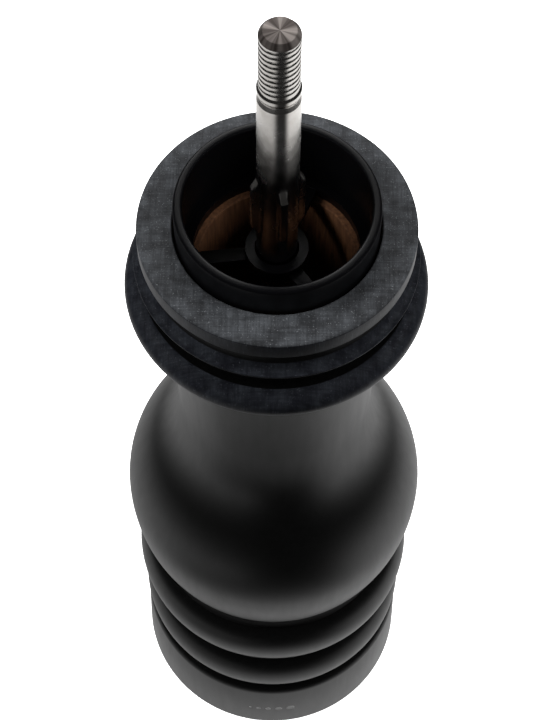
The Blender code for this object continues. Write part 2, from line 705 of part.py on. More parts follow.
def make_setting_ring():
    """The ring at the foot. Turning it slides three ramps under the carrier's arms."""
    top_edge = RING_TOP_EDGE_R
    edge = RING_FOOT_EDGE_R
    outline = arc(RING_TOP_R - top_edge, RING_H - top_edge, top_edge, top_edge, 90, 0, EDGE_POINTS)
    outline += arc(RING_FOOT_R - edge, edge, edge, edge, 0, -90, EDGE_POINTS)
    outline += [
        (RETAINER_R + TURN_GAP, 0),
        (RETAINER_R + TURN_GAP, RING_FLANGE_Z),
        (RING_FLANGE_R, RING_FLANGE_Z),
        (RING_FLANGE_R, RING_FLANGE_TOP),
        (RING_BORE_R, RING_FLANGE_TOP),
        (RING_BORE_R, RING_H),
    ]
    ring = turned("adjust_ring", outline, BIG_STEPS)
    sweep = RING_TURN_DEG + 2 * RAMP_EXTRA_DEG
    rise = RING_LIFT * sweep / RING_TURN_DEG
    inner = BOSS_R + TURN_GAP
    outer = RING_FLANGE_R + REST_GAP
    for i, degrees in enumerate(thirds(0)):
        start = degrees + RAMP_EXTRA_DEG
        low = RING_FLANGE_Z - RING_LIFT * RAMP_EXTRA_DEG / RING_TURN_DEG
        name = f"ring_ramp_{i + 1}"
        join(ring, ramp(name, inner, outer, low, start, start - sweep, rise, CUTTERS))
    finish(ring, BLACK_WOOD)


def make_retainer():
    """The plate under the foot that keeps the setting ring on."""
    outline = ring_outline(RETAINER_R, BOSS_BORE_R - REST_GAP, RETAINER_Z, RETAINER_TOP)
    plate = turned("ring_retainer", outline, BIG_STEPS)
    for i, degrees in enumerate(thirds(SCREW_FIRST_DEG)):
        x, y = on_circle(RETAINER_SCREW_CIRCLE_R, degrees)
        low = RETAINER_Z - PAST
        radius = RETAINER_SCREW_R + SCREW_GAP
        round_hole(plate, f"retainer_hole_{i + 1}", radius, low, RETAINER_TOP + PAST, x, y)
        sink_top = RETAINER_Z + SCREW_HEAD_H - REST_GAP
        radius = RETAINER_SCREW_HEAD_R + SCREW_GAP
        round_hole(plate, f"retainer_sink_{i + 1}", radius, low, sink_top, x, y)
    finish(plate, CAST_METAL)


def make_screw(name, head_r, shank_r, length, x, y, foot_z):
    """A slotted screw, head down, with its origin on its own axis at the head's face."""
    outline = [
        (0, length),
        (shank_r * SCREW_POINT_SHARE, length),
        (shank_r, length - shank_r),
        (shank_r, SCREW_HEAD_H),
        (head_r, SCREW_HEAD_H),
        (head_r, 0),
        (0, 0),
    ]
    screw = turned(name, outline, SMALL_STEPS)
    screw.location = (x * MM, y * MM, foot_z * MM)
    low = (-head_r - PAST, -SCREW_SLOT_W / 2, -PAST)
    high = (head_r + PAST, SCREW_SLOT_W / 2, SCREW_SLOT_DEPTH)
    slot = box(name + "_slot", low, high)
    slot.location = screw.location
    cut(screw, slot)
    finish(screw, BRIGHT_STEEL)


def make_screws():
    for i, degrees in enumerate(thirds(SCREW_FIRST_DEG)):
        x, y = on_circle(HOUSING_SCREW_CIRCLE_R, degrees)
        sizes = (HOUSING_SCREW_HEAD_R, HOUSING_SCREW_R, HOUSING_SCREW_L)
        make_screw(f"housing_screw_{i + 1}", *sizes, x, y, HOUSING_FLANGE_Z)
        x, y = on_circle(RETAINER_SCREW_CIRCLE_R, degrees)
        sizes = (RETAINER_SCREW_HEAD_R, RETAINER_SCREW_R, RETAINER_SCREW_L)
        make_screw(f"retainer_screw_{i + 1}", *sizes, x, y, RETAINER_Z - 2 * REST_GAP)


# ---------------------------------------------------------------- shaft and what is on it


def thread_outline():
    """Ring-shaped ridges that stand for the thread, top to bottom."""
    points = []
    for i in range(THREAD_TURNS):
        top = THREAD_TOP - THREAD_PITCH * i
        points.append((THREAD_R, top - THREAD_PITCH * THREAD_CREST_SHARE))
        points.append((THREAD_R - THREAD_DEPTH, top - THREAD_PITCH * THREAD_ROOT_SHARE))
    return points


def shaft_outline():
    shoulder_foot = THREAD_FOOT - SHOULDER_H
    groove_low = CLIP_Z - REST_GAP / 2
    groove_high = CLIP_Z + CLIP_T + REST_GAP / 2
    return [
        (0, SHAFT_TOP),
        (TIP_R, SHAFT_TOP),
        *thread_outline(),
        (THREAD_R - THREAD_DEPTH, THREAD_FOOT),
        (SHAFT_R, THREAD_FOOT - REST_GAP),
        (SHAFT_R, shoulder_foot),
        (SHOULDER_GROOVE_R, shoulder_foot - SHOULDER_BEVEL),
        (SHAFT_R, shoulder_foot - 2 * SHOULDER_BEVEL),
        (SHAFT_R, groove_high),
        (CLIP_GROOVE_R, groove_high),
        (CLIP_GROOVE_R, groove_low),
        (SHAFT_R, groove_low),
        (SHAFT_R, INNER_BURR_Z),
        (JOURNAL_R, INNER_BURR_Z),
        (JOURNAL_R, SHAFT_FOOT_Z),
        (0, SHAFT_FOOT_Z),
    ]


def cut_flats(shaft):
    """Four flats on the lower shaft, so that it drives the burr."""
    low_z = INNER_BURR_Z - REST_GAP / 2
    for i in range(4):
        low = (FLAT_HALF_W, -FLAT_HALF_W, low_z)
        high = (SHAFT_R + PAST, FLAT_HALF_W, FLATS_TOP_Z)
        cut(shaft, box(f"shaft_flat_{i + 1}", low, high, 90 * i))


def add_ears(shaft):
    """Four thin ears pressed out of the shaft. They stop the head's driver from sliding down."""
    top = SHAFT_TOP - EAR_MIDDLE_BELOW_TOP + EAR_H / 2
    foot = top - EAR_H
    root_r = SHAFT_R - PAST
    outline = [(root_r, foot), (EAR_R, foot + EAR_TAPER), (EAR_R, top - EAR_TAPER), (root_r, top)]
    mesh = plate_mesh("ear", outline, EAR_W)
    for i in range(4):
        ear = place(mesh, f"shaft_ear_{i + 1}", CUTTERS)
        ear.rotation_euler.z = math.radians(EAR_TURN_DEG + 90 * i)
        join(shaft, ear)


def make_shaft():
    shaft = turned("drive_shaft", shaft_outline(), MEDIUM_STEPS)
    cut_flats(shaft)
    add_ears(shaft)
    finish(shaft, BRIGHT_STEEL)


def make_washers():
    low = THRUST_WASHER_Z
    bore = JOURNAL_R + REST_GAP
    outline = ring_outline(THRUST_WASHER_R, bore, low, low + THRUST_WASHER_T)
    finish(turned("thrust_washer", outline, MEDIUM_STEPS), BRONZE)
    low = SPRING_WASHER_Z
    outline = ring_outline(SPRING_WASHER_R, SHAFT_BORE_R, low, low + SPRING_WASHER_T)
    finish(turned("spring_washer", outline, MEDIUM_STEPS), BRIGHT_STEEL)


def make_clip():
    """An open ring in the shaft's groove, which keeps the inner burr on its flats."""
    bore = CLIP_GROOVE_R + REST_GAP
    outline = ring_outline(CLIP_R, bore, CLIP_Z, CLIP_Z + CLIP_T)
    clip = turned("retaining_clip", outline, MEDIUM_STEPS)
    low = (0, -CLIP_GAP_W / 2, CLIP_Z - PAST)
    high = (CLIP_R + PAST, CLIP_GAP_W / 2, CLIP_Z + CLIP_T + PAST)
    cut(clip, box("clip_opening", low, high))
    finish(clip, HARD_STEEL)


def make_spring():
    """The coil that presses the inner burr down on its carrier."""
    curve = bpy.data.curves.new("return_spring", "CURVE")
    curve.dimensions = "3D"
    curve.bevel_depth = SPRING_WIRE_R * MM
    curve.bevel_resolution = SPRING_WIRE_RESOLUTION
    curve.use_fill_caps = True
    count = SPRING_TURNS * SPRING_POINTS_PER_TURN + 1
    low = SPRING_Z + SPRING_WIRE_R
    climb = SPRING_TOP - SPRING_WIRE_R - low
    line = curve.splines.new("POLY")
    line.points.add(count - 1)
    for i, point in enumerate(line.points):
        x, y = on_circle(SPRING_R, 360.0 * i / SPRING_POINTS_PER_TURN)
        point.co = (x * MM, y * MM, (low + climb * i / (count - 1)) * MM, 1)
    spring = bpy.data.objects.new("return_spring", curve)
    PARTS.objects.link(spring)
    finish(spring, BRIGHT_STEEL)


def make_everything():
    make_body()
    make_collar()
    make_guide()
    make_bridge()
    make_housing()
    make_inner_burr()
    make_outer_burr()
    make_carrier()
    make_setting_ring()
    make_retainer()
    make_screws()
    make_shaft()
    make_washers()
    make_clip()
    make_spring()


clear_scene()
PARTS = new_collection("pepper_mill")
CUTTERS = new_collection("cutters")
BLACK_WOOD = material("black_wood", (0.012, 0.012, 0.013), 0.5)
BLACK_PLASTIC = material("black_plastic", (0.006, 0.006, 0.007), 0.4)
BRIGHT_STEEL = material("bright_steel", (0.62, 0.61, 0.59), 0.3, 1.0)
HARD_STEEL = material("hard_steel", (0.3, 0.3, 0.31), 0.4, 1.0)
CAST_METAL = material("cast_metal", (0.55, 0.56, 0.57), 0.45, 1.0)
BRONZE = material("bronze", (0.55, 0.36, 0.17), 0.35, 1.0)
make_everything()
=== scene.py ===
# %% [markdown]
# # A turned pepper mill, opened for filling
#
# The mill stands on a table with its head lifted off. Everything that moves or fits is
# already modelled and loaded here as a fixed frame. This script gives each piece its real
# surface: the lathe work of the wooden body, the rolled thread of the shaft, the teeth of
# the burrs, and the finish of each material.

# %% Load the frame
import math

import bmesh
import bpy
import numpy as np
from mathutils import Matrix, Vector


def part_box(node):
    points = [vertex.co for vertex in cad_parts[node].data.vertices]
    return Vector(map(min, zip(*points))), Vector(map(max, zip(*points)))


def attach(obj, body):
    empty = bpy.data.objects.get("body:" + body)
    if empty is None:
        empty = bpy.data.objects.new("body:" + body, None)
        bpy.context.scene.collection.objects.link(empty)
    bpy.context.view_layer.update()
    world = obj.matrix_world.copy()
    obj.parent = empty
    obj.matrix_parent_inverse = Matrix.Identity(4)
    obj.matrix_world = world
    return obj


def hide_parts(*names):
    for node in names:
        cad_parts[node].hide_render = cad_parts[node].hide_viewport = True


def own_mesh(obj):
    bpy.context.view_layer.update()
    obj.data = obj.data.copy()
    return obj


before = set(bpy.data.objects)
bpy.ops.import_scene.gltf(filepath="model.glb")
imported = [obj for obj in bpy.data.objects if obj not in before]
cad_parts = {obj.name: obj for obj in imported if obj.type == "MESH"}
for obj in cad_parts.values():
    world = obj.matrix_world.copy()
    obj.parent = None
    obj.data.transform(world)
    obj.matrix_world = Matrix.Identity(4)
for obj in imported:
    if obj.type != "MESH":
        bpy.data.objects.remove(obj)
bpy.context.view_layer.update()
MM = 0.001

# %% [markdown]
# ## Measuring instead of typing
#
# Every new piece takes the place of a frame node, so its heights and radii are read from
# that node's box. Only the small shapes between those sizes, such as the depth of a cove,
# are given here in millimetres.

# %% Sizes read from the frame


def low_z(node):
    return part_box(node)[0].z


def high_z(node):
    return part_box(node)[1].z


def radius(node):
    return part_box(node)[1].x


GAP = 0.3 * MM  # between faces that touch or slide
SEAT_Z = high_z("body")
BELLY_R = radius("body")
COLLAR_R = radius("collar_bush")
SHAFT_TOP = high_z("drive_shaft")
RING_TOP = high_z("adjust_ring")
print(f"seat at {SEAT_Z / MM:.1f} mm, belly radius {BELLY_R / MM:.1f} mm")

# %% [markdown]
# ## One way to make a mesh
#
# A surface is a grid of points: one direction runs along the outline, the other round the
# axis or along a path. The grid is worked out as a whole array, and one function turns it
# into faces. It closes the grid where asked and turns the faces outwards by the sign of the
# volume they enclose, so no piece can end up inside out.

# %% Grid to mesh


def in_scene(name, data):
    """A new object in the scene that shows this mesh, light or camera."""
    made = bpy.data.objects.new(name, data)
    bpy.context.scene.collection.objects.link(made)
    return made


def signed_volume(points, quads):
    """A sixth of the sum of the triple products of each face's corners: positive if outward."""
    a, b, c, d = (points[quads[:, k]] for k in range(4))
    first = np.einsum("ij,ij->i", a, np.cross(b, c))
    second = np.einsum("ij,ij->i", a, np.cross(c, d))
    return (first.sum() + second.sum()) / 6


def skin(name, grid, poles=None, sharp_deg=40):
    """A closed surface from a grid of points, rows x columns x 3.

    The rows always close on each other. The columns close on each other too, or else each
    end is closed by a fan of triangles to one of the two poles.
    """
    rows, columns = grid.shape[:2]
    points = grid.reshape(-1, 3)
    i = np.arange(rows)[:, None]
    j = np.arange(columns if poles is None else columns - 1)[None, :]
    after_i, after_j = (i + 1) % rows, (j + 1) % columns
    here, below = i * columns, after_i * columns
    corners = np.broadcast_arrays(here + j, below + j, below + after_j, here + after_j)
    quads = np.stack([corner.reshape(-1) for corner in corners], axis=1)
    if signed_volume(points, quads) < 0:
        quads = quads[:, ::-1]
    faces = quads.tolist()
    if poles is not None:
        points = np.vstack([points, np.array(poles, float)])
        start = np.arange(rows) * columns
        end = start + columns - 1
        for ring, pole in ((start, rows * columns), (end, rows * columns + 1)):
            fan = np.stack([ring, np.roll(ring, -1), np.full(rows, pole)], axis=1)
            a, b, c = (points[fan[:, k]] for k in range(3))
            middle = points.mean(axis=0)
            if np.einsum("ij,ij->i", a - middle, np.cross(b - middle, c - middle)).sum() < 0:
                fan = fan[:, ::-1]
            faces += fan.tolist()
    mesh = bpy.data.meshes.new(name)
    mesh.from_pydata(points.tolist(), [], faces)
    mesh.polygons.foreach_set("use_smooth", np.ones(len(faces), bool))
    mesh.set_sharp_from_angle(angle=math.radians(sharp_deg))
    return in_scene(name, mesh)


# %% [markdown]
# ## The lathe
#
# Turned wood and turned metal have the same shape all the way round, so an outline of
# (radius, height) points says everything. No cutting tool or paint leaves a perfectly sharp
# corner, and it is the small rounding that catches the light, so each corner of an outline
# may carry a fillet.

# %% Outline tools


def fillet(corners, steps=5):
    """Rounds the corners of a closed outline of (radius, height, rounding) rows.

    Each rounding is an arc that touches both sides: its middle lies on the corner's
    bisector, and its ends lie where the sides leave it.
    """
    corners = np.array(corners, float)
    rounded = []
    for k, (r, z, size) in enumerate(corners):
        here = np.array([r, z])
        if size == 0:
            rounded.append(here)
            continue
        back = corners[k - 1, :2] - here
        ahead = corners[(k + 1) % len(corners), :2] - here
        back, ahead = back / np.linalg.norm(back), ahead / np.linalg.norm(ahead)
        half = math.acos(np.clip(back @ ahead, -1, 1)) / 2
        bisector = (back + ahead) / np.linalg.norm(back + ahead)
        middle = here + bisector * size / math.sin(half)
        start = here + back * size / math.tan(half) - middle
        end = here + ahead * size / math.tan(half) - middle
        swing = math.pi - 2 * half
        for t in np.linspace(0, 1, steps):
            arc = (math.sin((1 - t) * swing) * start + math.sin(t * swing) * end) / math.sin(swing)
            rounded.append(middle + arc)
    return np.array(rounded)


def ellipse(middle_r, middle_z, half_w, half_h, start_deg, end_deg, count):
    """Points on an ellipse: middle plus (half width x cosine, half height x sine)."""
    a = np.radians(np.linspace(start_deg, end_deg, count))
    flat = np.zeros(count)
    return np.stack([middle_r + half_w * np.cos(a), middle_z + half_h * np.sin(a), flat], axis=1)


def lathe(name, outline, turns=200):
    """Carries a closed outline once round the Z axis: x = r cos a, y = r sin a."""
    r, z = outline[:, 0], outline[:, 1]
    a = np.arange(turns) / turns * math.tau
    x = np.cos(a)[:, None] * r[None, :]
    y = np.sin(a)[:, None] * r[None, :]
    return skin(name, np.stack([x, y, np.broadcast_to(z, x.shape)], axis=-1))


def stand_for(piece, node, body):
    """Puts a finished piece in a node's place."""
    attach(piece, body)
    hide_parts(node)
    print(f"{piece.name}: {len(piece.data.polygons)} faces, rides on {body}")


# %% [markdown]
# ## Colours and nodes
#
# Colours are written as they look on a screen, in hex, and one function turns them into the
# linear values that light is added up in. One more small function adds a node of any kind.
#
# Most finishes here are one pattern that does two jobs: it moves the colour between two
# shades, and it raises the surface a little, so that a paler grain also stands higher.

# %% Material helpers


def linear(hex_colour):
    """An sRGB hex colour as linear RGBA: values over 0.04045 follow the 2.4 power curve."""
    values = np.array([int(hex_colour[k : k + 2], 16) for k in (1, 3, 5)]) / 255
    curve = np.where(values <= 0.04045, values / 12.92, ((values + 0.055) / 1.055) ** 2.4)
    return (*curve.tolist(), 1.0)


def new_material(name, **sockets):
    """A material whose Principled shader takes these settings, by socket name."""
    made = bpy.data.materials.new(name)
    made.use_nodes = True
    shader = made.node_tree.nodes["Principled BSDF"]
    for socket, value in sockets.items():
        shader.inputs[socket.replace("_", " ")].default_value = value
    return made, shader


def add(material, kind, settings=None, stops=(), **inputs):
    """Adds one node. Settings are its own options, stops are a colour ramp's two (position, hex)
    pairs, and inputs are values or links, by a socket's name or by _ and its number."""
    node = material.node_tree.nodes.new(kind)
    for key, value in (settings or {}).items():
        setattr(node, key, value)
    for stop, (position, colour) in zip(node.color_ramp.elements if stops else (), stops):
        stop.position, stop.color = position, linear(colour)
    for key, value in inputs.items():
        socket = node.inputs[int(key[1:]) if key[0] == "_" else key.replace("_", " ")]
        if isinstance(value, bpy.types.NodeSocket):
            material.node_tree.links.new(value, socket)
        else:
            socket.default_value = value
    return node


def link(material, output, socket):
    material.node_tree.links.new(output, socket)


def even_pattern(material, spot_mm, detail=2.0):
    """Noise whose spots have one size in every direction: its scale is one over that size."""
    place = add(material, "ShaderNodeTexCoord").outputs["Object"]
    scale = 1 / (spot_mm * MM)
    return add(material, "ShaderNodeTexNoise", Vector=place, Scale=scale, Detail=detail).outputs["Fac"]


def tint(material, shader, pattern, *stops):
    """The pattern's value picks a shade between two stops."""
    shade = add(material, "ShaderNodeValToRGB", stops=stops, Fac=pattern)
    link(material, shade.outputs["Color"], shader.inputs["Base Color"])


def emboss(material, shader, pattern, strength, depth_mm):
    """The pattern's value raises the surface, as far as the depth at full strength."""
    bump = add(material, "ShaderNodeBump", Strength=strength, Distance=depth_mm * MM, Height=pattern)
    link(material, bump.outputs["Normal"], shader.inputs["Normal"])


# %% [markdown]
# ## Beech, turned and sprayed black
#
# Beech has fine pores and short rays that run out from the pith. On the side of the body
# they show as faint streaks along the grain, and on the flat seat, which is cut across the
# grain, as specks. Sprayed black lacquer sinks into them and dries satin. One pattern does
# both: a noise that is fine across the grain and stretched along Z, so that a flat cut
# through it gives specks and an upright cut gives streaks.

# %% Black lacquer


def grain_pattern(material, across_mm, along_mm, detail=3.0):
    """Noise stretched along the grain: its scale is one over the size of a streak."""
    place = add(material, "ShaderNodeTexCoord").outputs["Object"]
    scale = (1 / (across_mm * MM), 1 / (across_mm * MM), 1 / (along_mm * MM))
    stretched = add(material, "ShaderNodeMapping", Vector=place, Scale=scale).outputs["Vector"]
    noise = add(material, "ShaderNodeTexNoise", Vector=stretched, Scale=1.0, Detail=detail)
    return noise.outputs["Fac"]


def black_lacquer():
    made, shader = new_material("black_lacquer_sprayed_on_beech", IOR=1.4)
    pores = grain_pattern(made, 0.55, 5.0)
    tint(made, shader, pores, (0.35, "#030303"), (0.72, "#060606"))
    emboss(made, shader, pores, 0.12, 0.05)
    flecks = grain_pattern(made, 1.6, 9.0, 2.0)
    gloss = add(made, "ShaderNodeMapRange", Value=flecks, To_Min=0.38, To_Max=0.46)
    link(made, gloss.outputs["Result"], shader.inputs["Roughness"])
    return made


BLACK_LACQUER = black_lacquer()
print("made", BLACK_LACQUER.name)

# %% [markdown]
# ## The end that the head turns on
#
# The seat gets a thinner coat and is rubbed by the head, so it is greyer and more matt than
# the belly. Cut pores show on it as pale specks, and the saw and sander leave faint crossing
# lines. The rings below it get a darker copy of the same coat, as painted shade on their
# upright faces.

# %% Thin lacquer
LINE_W, LINE_LENGTH, LINE_DEPTH = 0.3 * MM, 5.0 * MM, 2.0 * MM


def thin_lacquer(name, low, high, speck, roughness, ior):
    """Clouds between two greys, plus pale specks and faint crossing lines."""
    made, shader = new_material(name, Roughness=roughness, IOR=ior)
    clouds = grain_pattern(made, 2.2, 12.0)
    pores = grain_pattern(made, 0.24, 2.0)
    place = add(made, "ShaderNodeTexCoord").outputs["Object"]
    lines = []
    for size in ((LINE_W, LINE_LENGTH, LINE_DEPTH), (LINE_LENGTH, LINE_W, LINE_DEPTH)):
        scale = tuple(1 / length for length in size)
        laid = add(made, "ShaderNodeMapping", Vector=place, Scale=scale).outputs["Vector"]
        noise = add(made, "ShaderNodeTexNoise", Vector=laid, Scale=1.0, Detail=1.0)
        lines.append(noise.outputs["Fac"])
    crossing = add(made, "ShaderNodeMath", {"operation": "MULTIPLY"}, _0=lines[0], _1=lines[1])
    layers = [
        (None, clouds, [(0.35, low), (0.65, high)]),
        ("MULTIPLY", crossing.outputs["Value"], [(0.16, "#cfcfcf"), (0.38, "#ffffff")]),
        ("ADD", pores, [(0.62, "#000000"), (0.8, speck)]),
    ]
    colour = None
    for blend, pattern, stops in layers:
        layer = add(made, "ShaderNodeValToRGB", stops=stops, Fac=pattern).outputs["Color"]
        if blend:
            mixed = add(made, "ShaderNodeMix", {"data_type": "RGBA", "blend_type": blend}, Factor=1.0)
            link(made, colour, mixed.inputs["A"])
            link(made, layer, mixed.inputs["B"])
            layer = mixed.outputs["Result"]
        colour = layer
    link(made, colour, shader.inputs["Base Color"])
    emboss(made, shader, pores, 0.35, 0.06)
    return made


SEAT_LACQUER = thin_lacquer("thin_black_lacquer_rubbed_matt", "#2d2e30", "#3f4144", "#686a6c", 0.6, 1.3)
# A darker copy of the seat's coat for the rings: painted shade.
RING_LACQUER_PAINTED_SHADE = thin_lacquer("thin_black_lacquer_darker_copy_painted_shade", "#141519", "#202226", "#34363a", 0.4, 1.2)
print("made", SEAT_LACQUER.name, RING_LACQUER_PAINTED_SHADE.name)

# %% [markdown]
# ## Raw beech
#
# Paint stops at the mouth. The ledge and the bore behind it are bare beech, reddish brown
# and darkened by oil from the pepper.

# %% Raw wood


def raw_beech():
    made, shader = new_material("raw_beech_bored", Roughness=0.7, IOR=1.45)
    pores = grain_pattern(made, 0.5, 6.0)
    tint(made, shader, pores, (0.3, "#3c281d"), (0.7, "#5e412d"))
    emboss(made, shader, pores, 0.3, 0.08)
    return made


RAW_BEECH = raw_beech()
print("made", RAW_BEECH.name)

# %% [markdown]
# ## Body
#
# The body is one length of beech turned between centres: seat, band, cove, lip, ring bead,
# neck, belly and two foot beads, then bored from both ends. It could be a screw modifier on
# a curve, but a worked-out outline keeps each bead an exact ellipse and lets the neck flow
# into the belly with one smooth curve, whose slope matches the belly where they meet.

# %% Body outline
SEAT_R, BAND_H = 23.8 * MM, 3.8 * MM
COVE_TOP_Z, COVE_H = SEAT_Z - 4.2 * MM, 4.5 * MM
COVE_IN_R, COVE_OUT_R = 22.2 * MM, 24.8 * MM
LIP_H, LIP_SLOPE_H, THROAT_R = 0.9 * MM, 0.4 * MM, 22.0 * MM
LIP_FOOT_Z = COVE_TOP_Z - COVE_H - LIP_H
BEAD_Z, BEAD_HALF_H = SEAT_Z - 17.6 * MM, 3.3 * MM
BEAD_MIDDLE_R, BEAD_ROUND = 23.2 * MM, 3.6 * MM
NECK_R, NECK_Z, NECK_FLARE = 18.8 * MM, SEAT_Z - 50.0 * MM, 2.0 * MM
BELLY_Z, BELLY_LOW_H, BELLY_TOP_DEG = 76.6 * MM, 39.0 * MM, 38.0
RIM_Z, VALLEY_R, FOOT_BEAD_ARC_DEG = RING_TOP + GAP, 25.8 * MM, 82
UPPER_BEAD_Z, UPPER_BEAD_OUT, UPPER_BEAD_HALF_H = RIM_Z + 25.6 * MM, 4.1 * MM, 7.0 * MM
LOWER_BEAD_Z, LOWER_BEAD_OUT, LOWER_BEAD_HALF_H = RIM_Z + 6.8 * MM, 3.6 * MM, 6.2 * MM
SPIGOT_R, SPIGOT_FOOT_Z = 24.2 * MM, RIM_Z - 11.8 * MM
MECHANISM_R, MECHANISM_TOP = 20.0 * MM, high_z("shaft_bridge") - 1.3 * MM
CHAMBER_R, LEDGE_Z, MOUTH_R = 13.4 * MM, SEAT_Z - 10.4 * MM, COLLAR_R + GAP


def neck_curve():
    """The neck above its waist flares by the square of the distance; below it, a Hermite
    curve joins the waist to the belly with the belly's own slope."""
    bead_foot = BEAD_Z - BEAD_HALF_H
    t = np.linspace(0, 1, 16)[:-1]
    upper = np.stack([NECK_R + NECK_FLARE * (1 - t) ** 2, bead_foot + (NECK_Z - bead_foot) * t], 1)
    top = math.radians(BELLY_TOP_DEG)
    end_r, end_z = BELLY_R * math.cos(top), BELLY_Z + BELLY_R * math.sin(top)
    drop = NECK_Z - end_z
    t = np.linspace(0, 1, 30)[:-1]
    r = NECK_R + (end_r - NECK_R) * t * t * (3 - 2 * t) + math.tan(top) * drop * t * t * (t - 1)
    lower = np.stack([r, NECK_Z - drop * t], 1)
    both = np.vstack([upper, lower])
    return np.hstack([both, np.zeros((len(both), 1))])


def foot_bead(middle_z, out, half_h):
    """Half an ellipse that stands out from the valley between the beads."""
    return ellipse(VALLEY_R, middle_z, out, half_h, FOOT_BEAD_ARC_DEG, -FOOT_BEAD_ARC_DEG, 30)


def body_outline():
    """Outside from the seat down, then up through the bores."""
    low_deg = -math.degrees(math.acos(VALLEY_R / BELLY_R))
    cove = ellipse(COVE_OUT_R, COVE_TOP_Z, COVE_IN_R - COVE_OUT_R, -COVE_H, 0, 90, 14)
    cove[-1, 2] = 0.15 * MM
    outside = [
        [(SEAT_R, SEAT_Z, 0.55 * MM), (SEAT_R, SEAT_Z - BAND_H, 0.25 * MM)],
        cove,
        [(COVE_OUT_R - 0.25 * MM, LIP_FOOT_Z, 0.2 * MM), (THROAT_R, LIP_FOOT_Z - LIP_SLOPE_H, 0)],
        [(THROAT_R, BEAD_Z + BEAD_HALF_H - 0.3 * MM, 0.2 * MM)],
        ellipse(BEAD_MIDDLE_R, BEAD_Z, BEAD_ROUND, BEAD_HALF_H, 80, -88, 28),
        neck_curve(),
        ellipse(0, BELLY_Z, BELLY_R, BELLY_R, BELLY_TOP_DEG, 0, 22)[:-1],
        ellipse(0, BELLY_Z, BELLY_R, BELLY_LOW_H, 0, low_deg, 18),
        foot_bead(UPPER_BEAD_Z, UPPER_BEAD_OUT, UPPER_BEAD_HALF_H),
        foot_bead(LOWER_BEAD_Z, LOWER_BEAD_OUT, LOWER_BEAD_HALF_H),
        [(VALLEY_R, RIM_Z, 0.3 * MM), (SPIGOT_R, RIM_Z, 0)],
        [(SPIGOT_R, SPIGOT_FOOT_Z, 0.3 * MM), (MECHANISM_R, SPIGOT_FOOT_Z, 0.3 * MM)],
        [(MECHANISM_R, MECHANISM_TOP, 0), (CHAMBER_R, MECHANISM_TOP, 0.4 * MM)],
        [(CHAMBER_R, LEDGE_Z, 0.35 * MM), (MOUTH_R, LEDGE_Z, 0), (MOUTH_R, SEAT_Z, 0.35 * MM)],
    ]
    return fillet(np.vstack([np.array(part, float) for part in outside]))


OUTLINE = body_outline()
print(f"outline: {len(OUTLINE)} points, widest {OUTLINE[:, 0].max() / MM:.2f} mm")

# %% [markdown]
# Four finishes share the body. Each face picks one by where its middle lies. The throat and
# the deep part of the cove are painted as black as the belly, as painted shade where the lip
# and the band shade them, and the bores and the spigot inside the ring stay bare.

# %% Turn and finish the body
BODY_FINISHES = [BLACK_LACQUER, RING_LACQUER_PAINTED_SHADE, RAW_BEECH, SEAT_LACQUER]
BLACK, THIN, RAW, RUBBED = range(4)
THROAT_PAINTED_SHADE, COVE_PAINTED_SHADE = 1.9 * MM, 0.75 * MM
TOUCH = 0.02 * MM


def face_middles(piece):
    """The radius and the height of the middle of each face."""
    middles = np.empty(len(piece.data.polygons) * 3)
    piece.data.polygons.foreach_get("center", middles)
    return np.hypot(middles[0::3], middles[1::3]), middles[2::3]


def finish_by_place(r, z):
    """The number of each face's finish in BODY_FINISHES."""
    in_mouth = (r < MOUTH_R + TOUCH) & (z < SEAT_Z - 0.5 * MM) & (z > MECHANISM_TOP)
    in_foot = (r < SPIGOT_R + TOUCH) & (z < MECHANISM_TOP + TOUCH)
    # Painted shade: the throat and the deep cove take the belly's black lacquer.
    throat_painted_shade = (z < LIP_FOOT_Z) & (r < THROAT_R + THROAT_PAINTED_SHADE)
    cove_painted_shade = (z < COVE_TOP_Z) & (z > LIP_FOOT_Z) & (r < COVE_IN_R + COVE_PAINTED_SHADE)
    # The rings take the darker copy of the seat's coat, as painted shade.
    rings = (z > BEAD_Z - BEAD_HALF_H) & ~throat_painted_shade & ~cove_painted_shade
    places = [in_mouth | in_foot, z > SEAT_Z - 0.3 * MM, rings]
    return np.select(places, [RAW, RUBBED, THIN], BLACK)


body = lathe("turned_body", OUTLINE)
for finish in BODY_FINISHES:
    body.data.materials.append(finish)
body.data.polygons.foreach_set("material_index", finish_by_place(*face_middles(body)))
stand_for(body, "body", "mill")

# %% [markdown]
# ## Setting ring
#
# The lowest band is a separate turned ring. Turning it sets the grind, so it is the one
# piece of wood that moves. One closed outline holds all of it: the side with its soft edges,
# the flat foot, the recess for the plate that keeps it on, the inner flange and the bore that
# fits round the body's spigot.

# %% Ring outline
RING_TOP_R, RING_FOOT_R, RING_BORE_R = 29.3 * MM, radius("adjust_ring"), 24.6 * MM
PLATE_R, PLATE_TOP = radius("ring_retainer"), high_z("ring_retainer")
RECESS_R = PLATE_R + 0.4 * MM
FLANGE_R, FLANGE_LOW, FLANGE_TOP = 20.7 * MM, PLATE_TOP + GAP, PLATE_TOP + 2.7 * MM
ring = lathe(
    "setting_ring",
    fillet(
        [
            (RING_TOP_R, RING_TOP, 1.8 * MM),
            (RING_FOOT_R, 0, 0.8 * MM),
            (RECESS_R, 0, 0.4 * MM),
            (RECESS_R, FLANGE_LOW, 0),
            (FLANGE_R, FLANGE_LOW, 0.2 * MM),
            (FLANGE_R, FLANGE_TOP, 0.2 * MM),
            (RING_BORE_R, FLANGE_TOP, 0),
            (RING_BORE_R, RING_TOP, 0.3 * MM),
        ]
    ),
)
ring.data.materials.append(BLACK_LACQUER)
stand_for(ring, "adjust_ring", "setting_ring")

# %% [markdown]
# ## Ramps in the ring
#
# Three ramps climb round the inside of the ring. As the ring turns they slide under the arms
# of the burr's carrier and lift it. Each is a small rectangle carried along a helix.

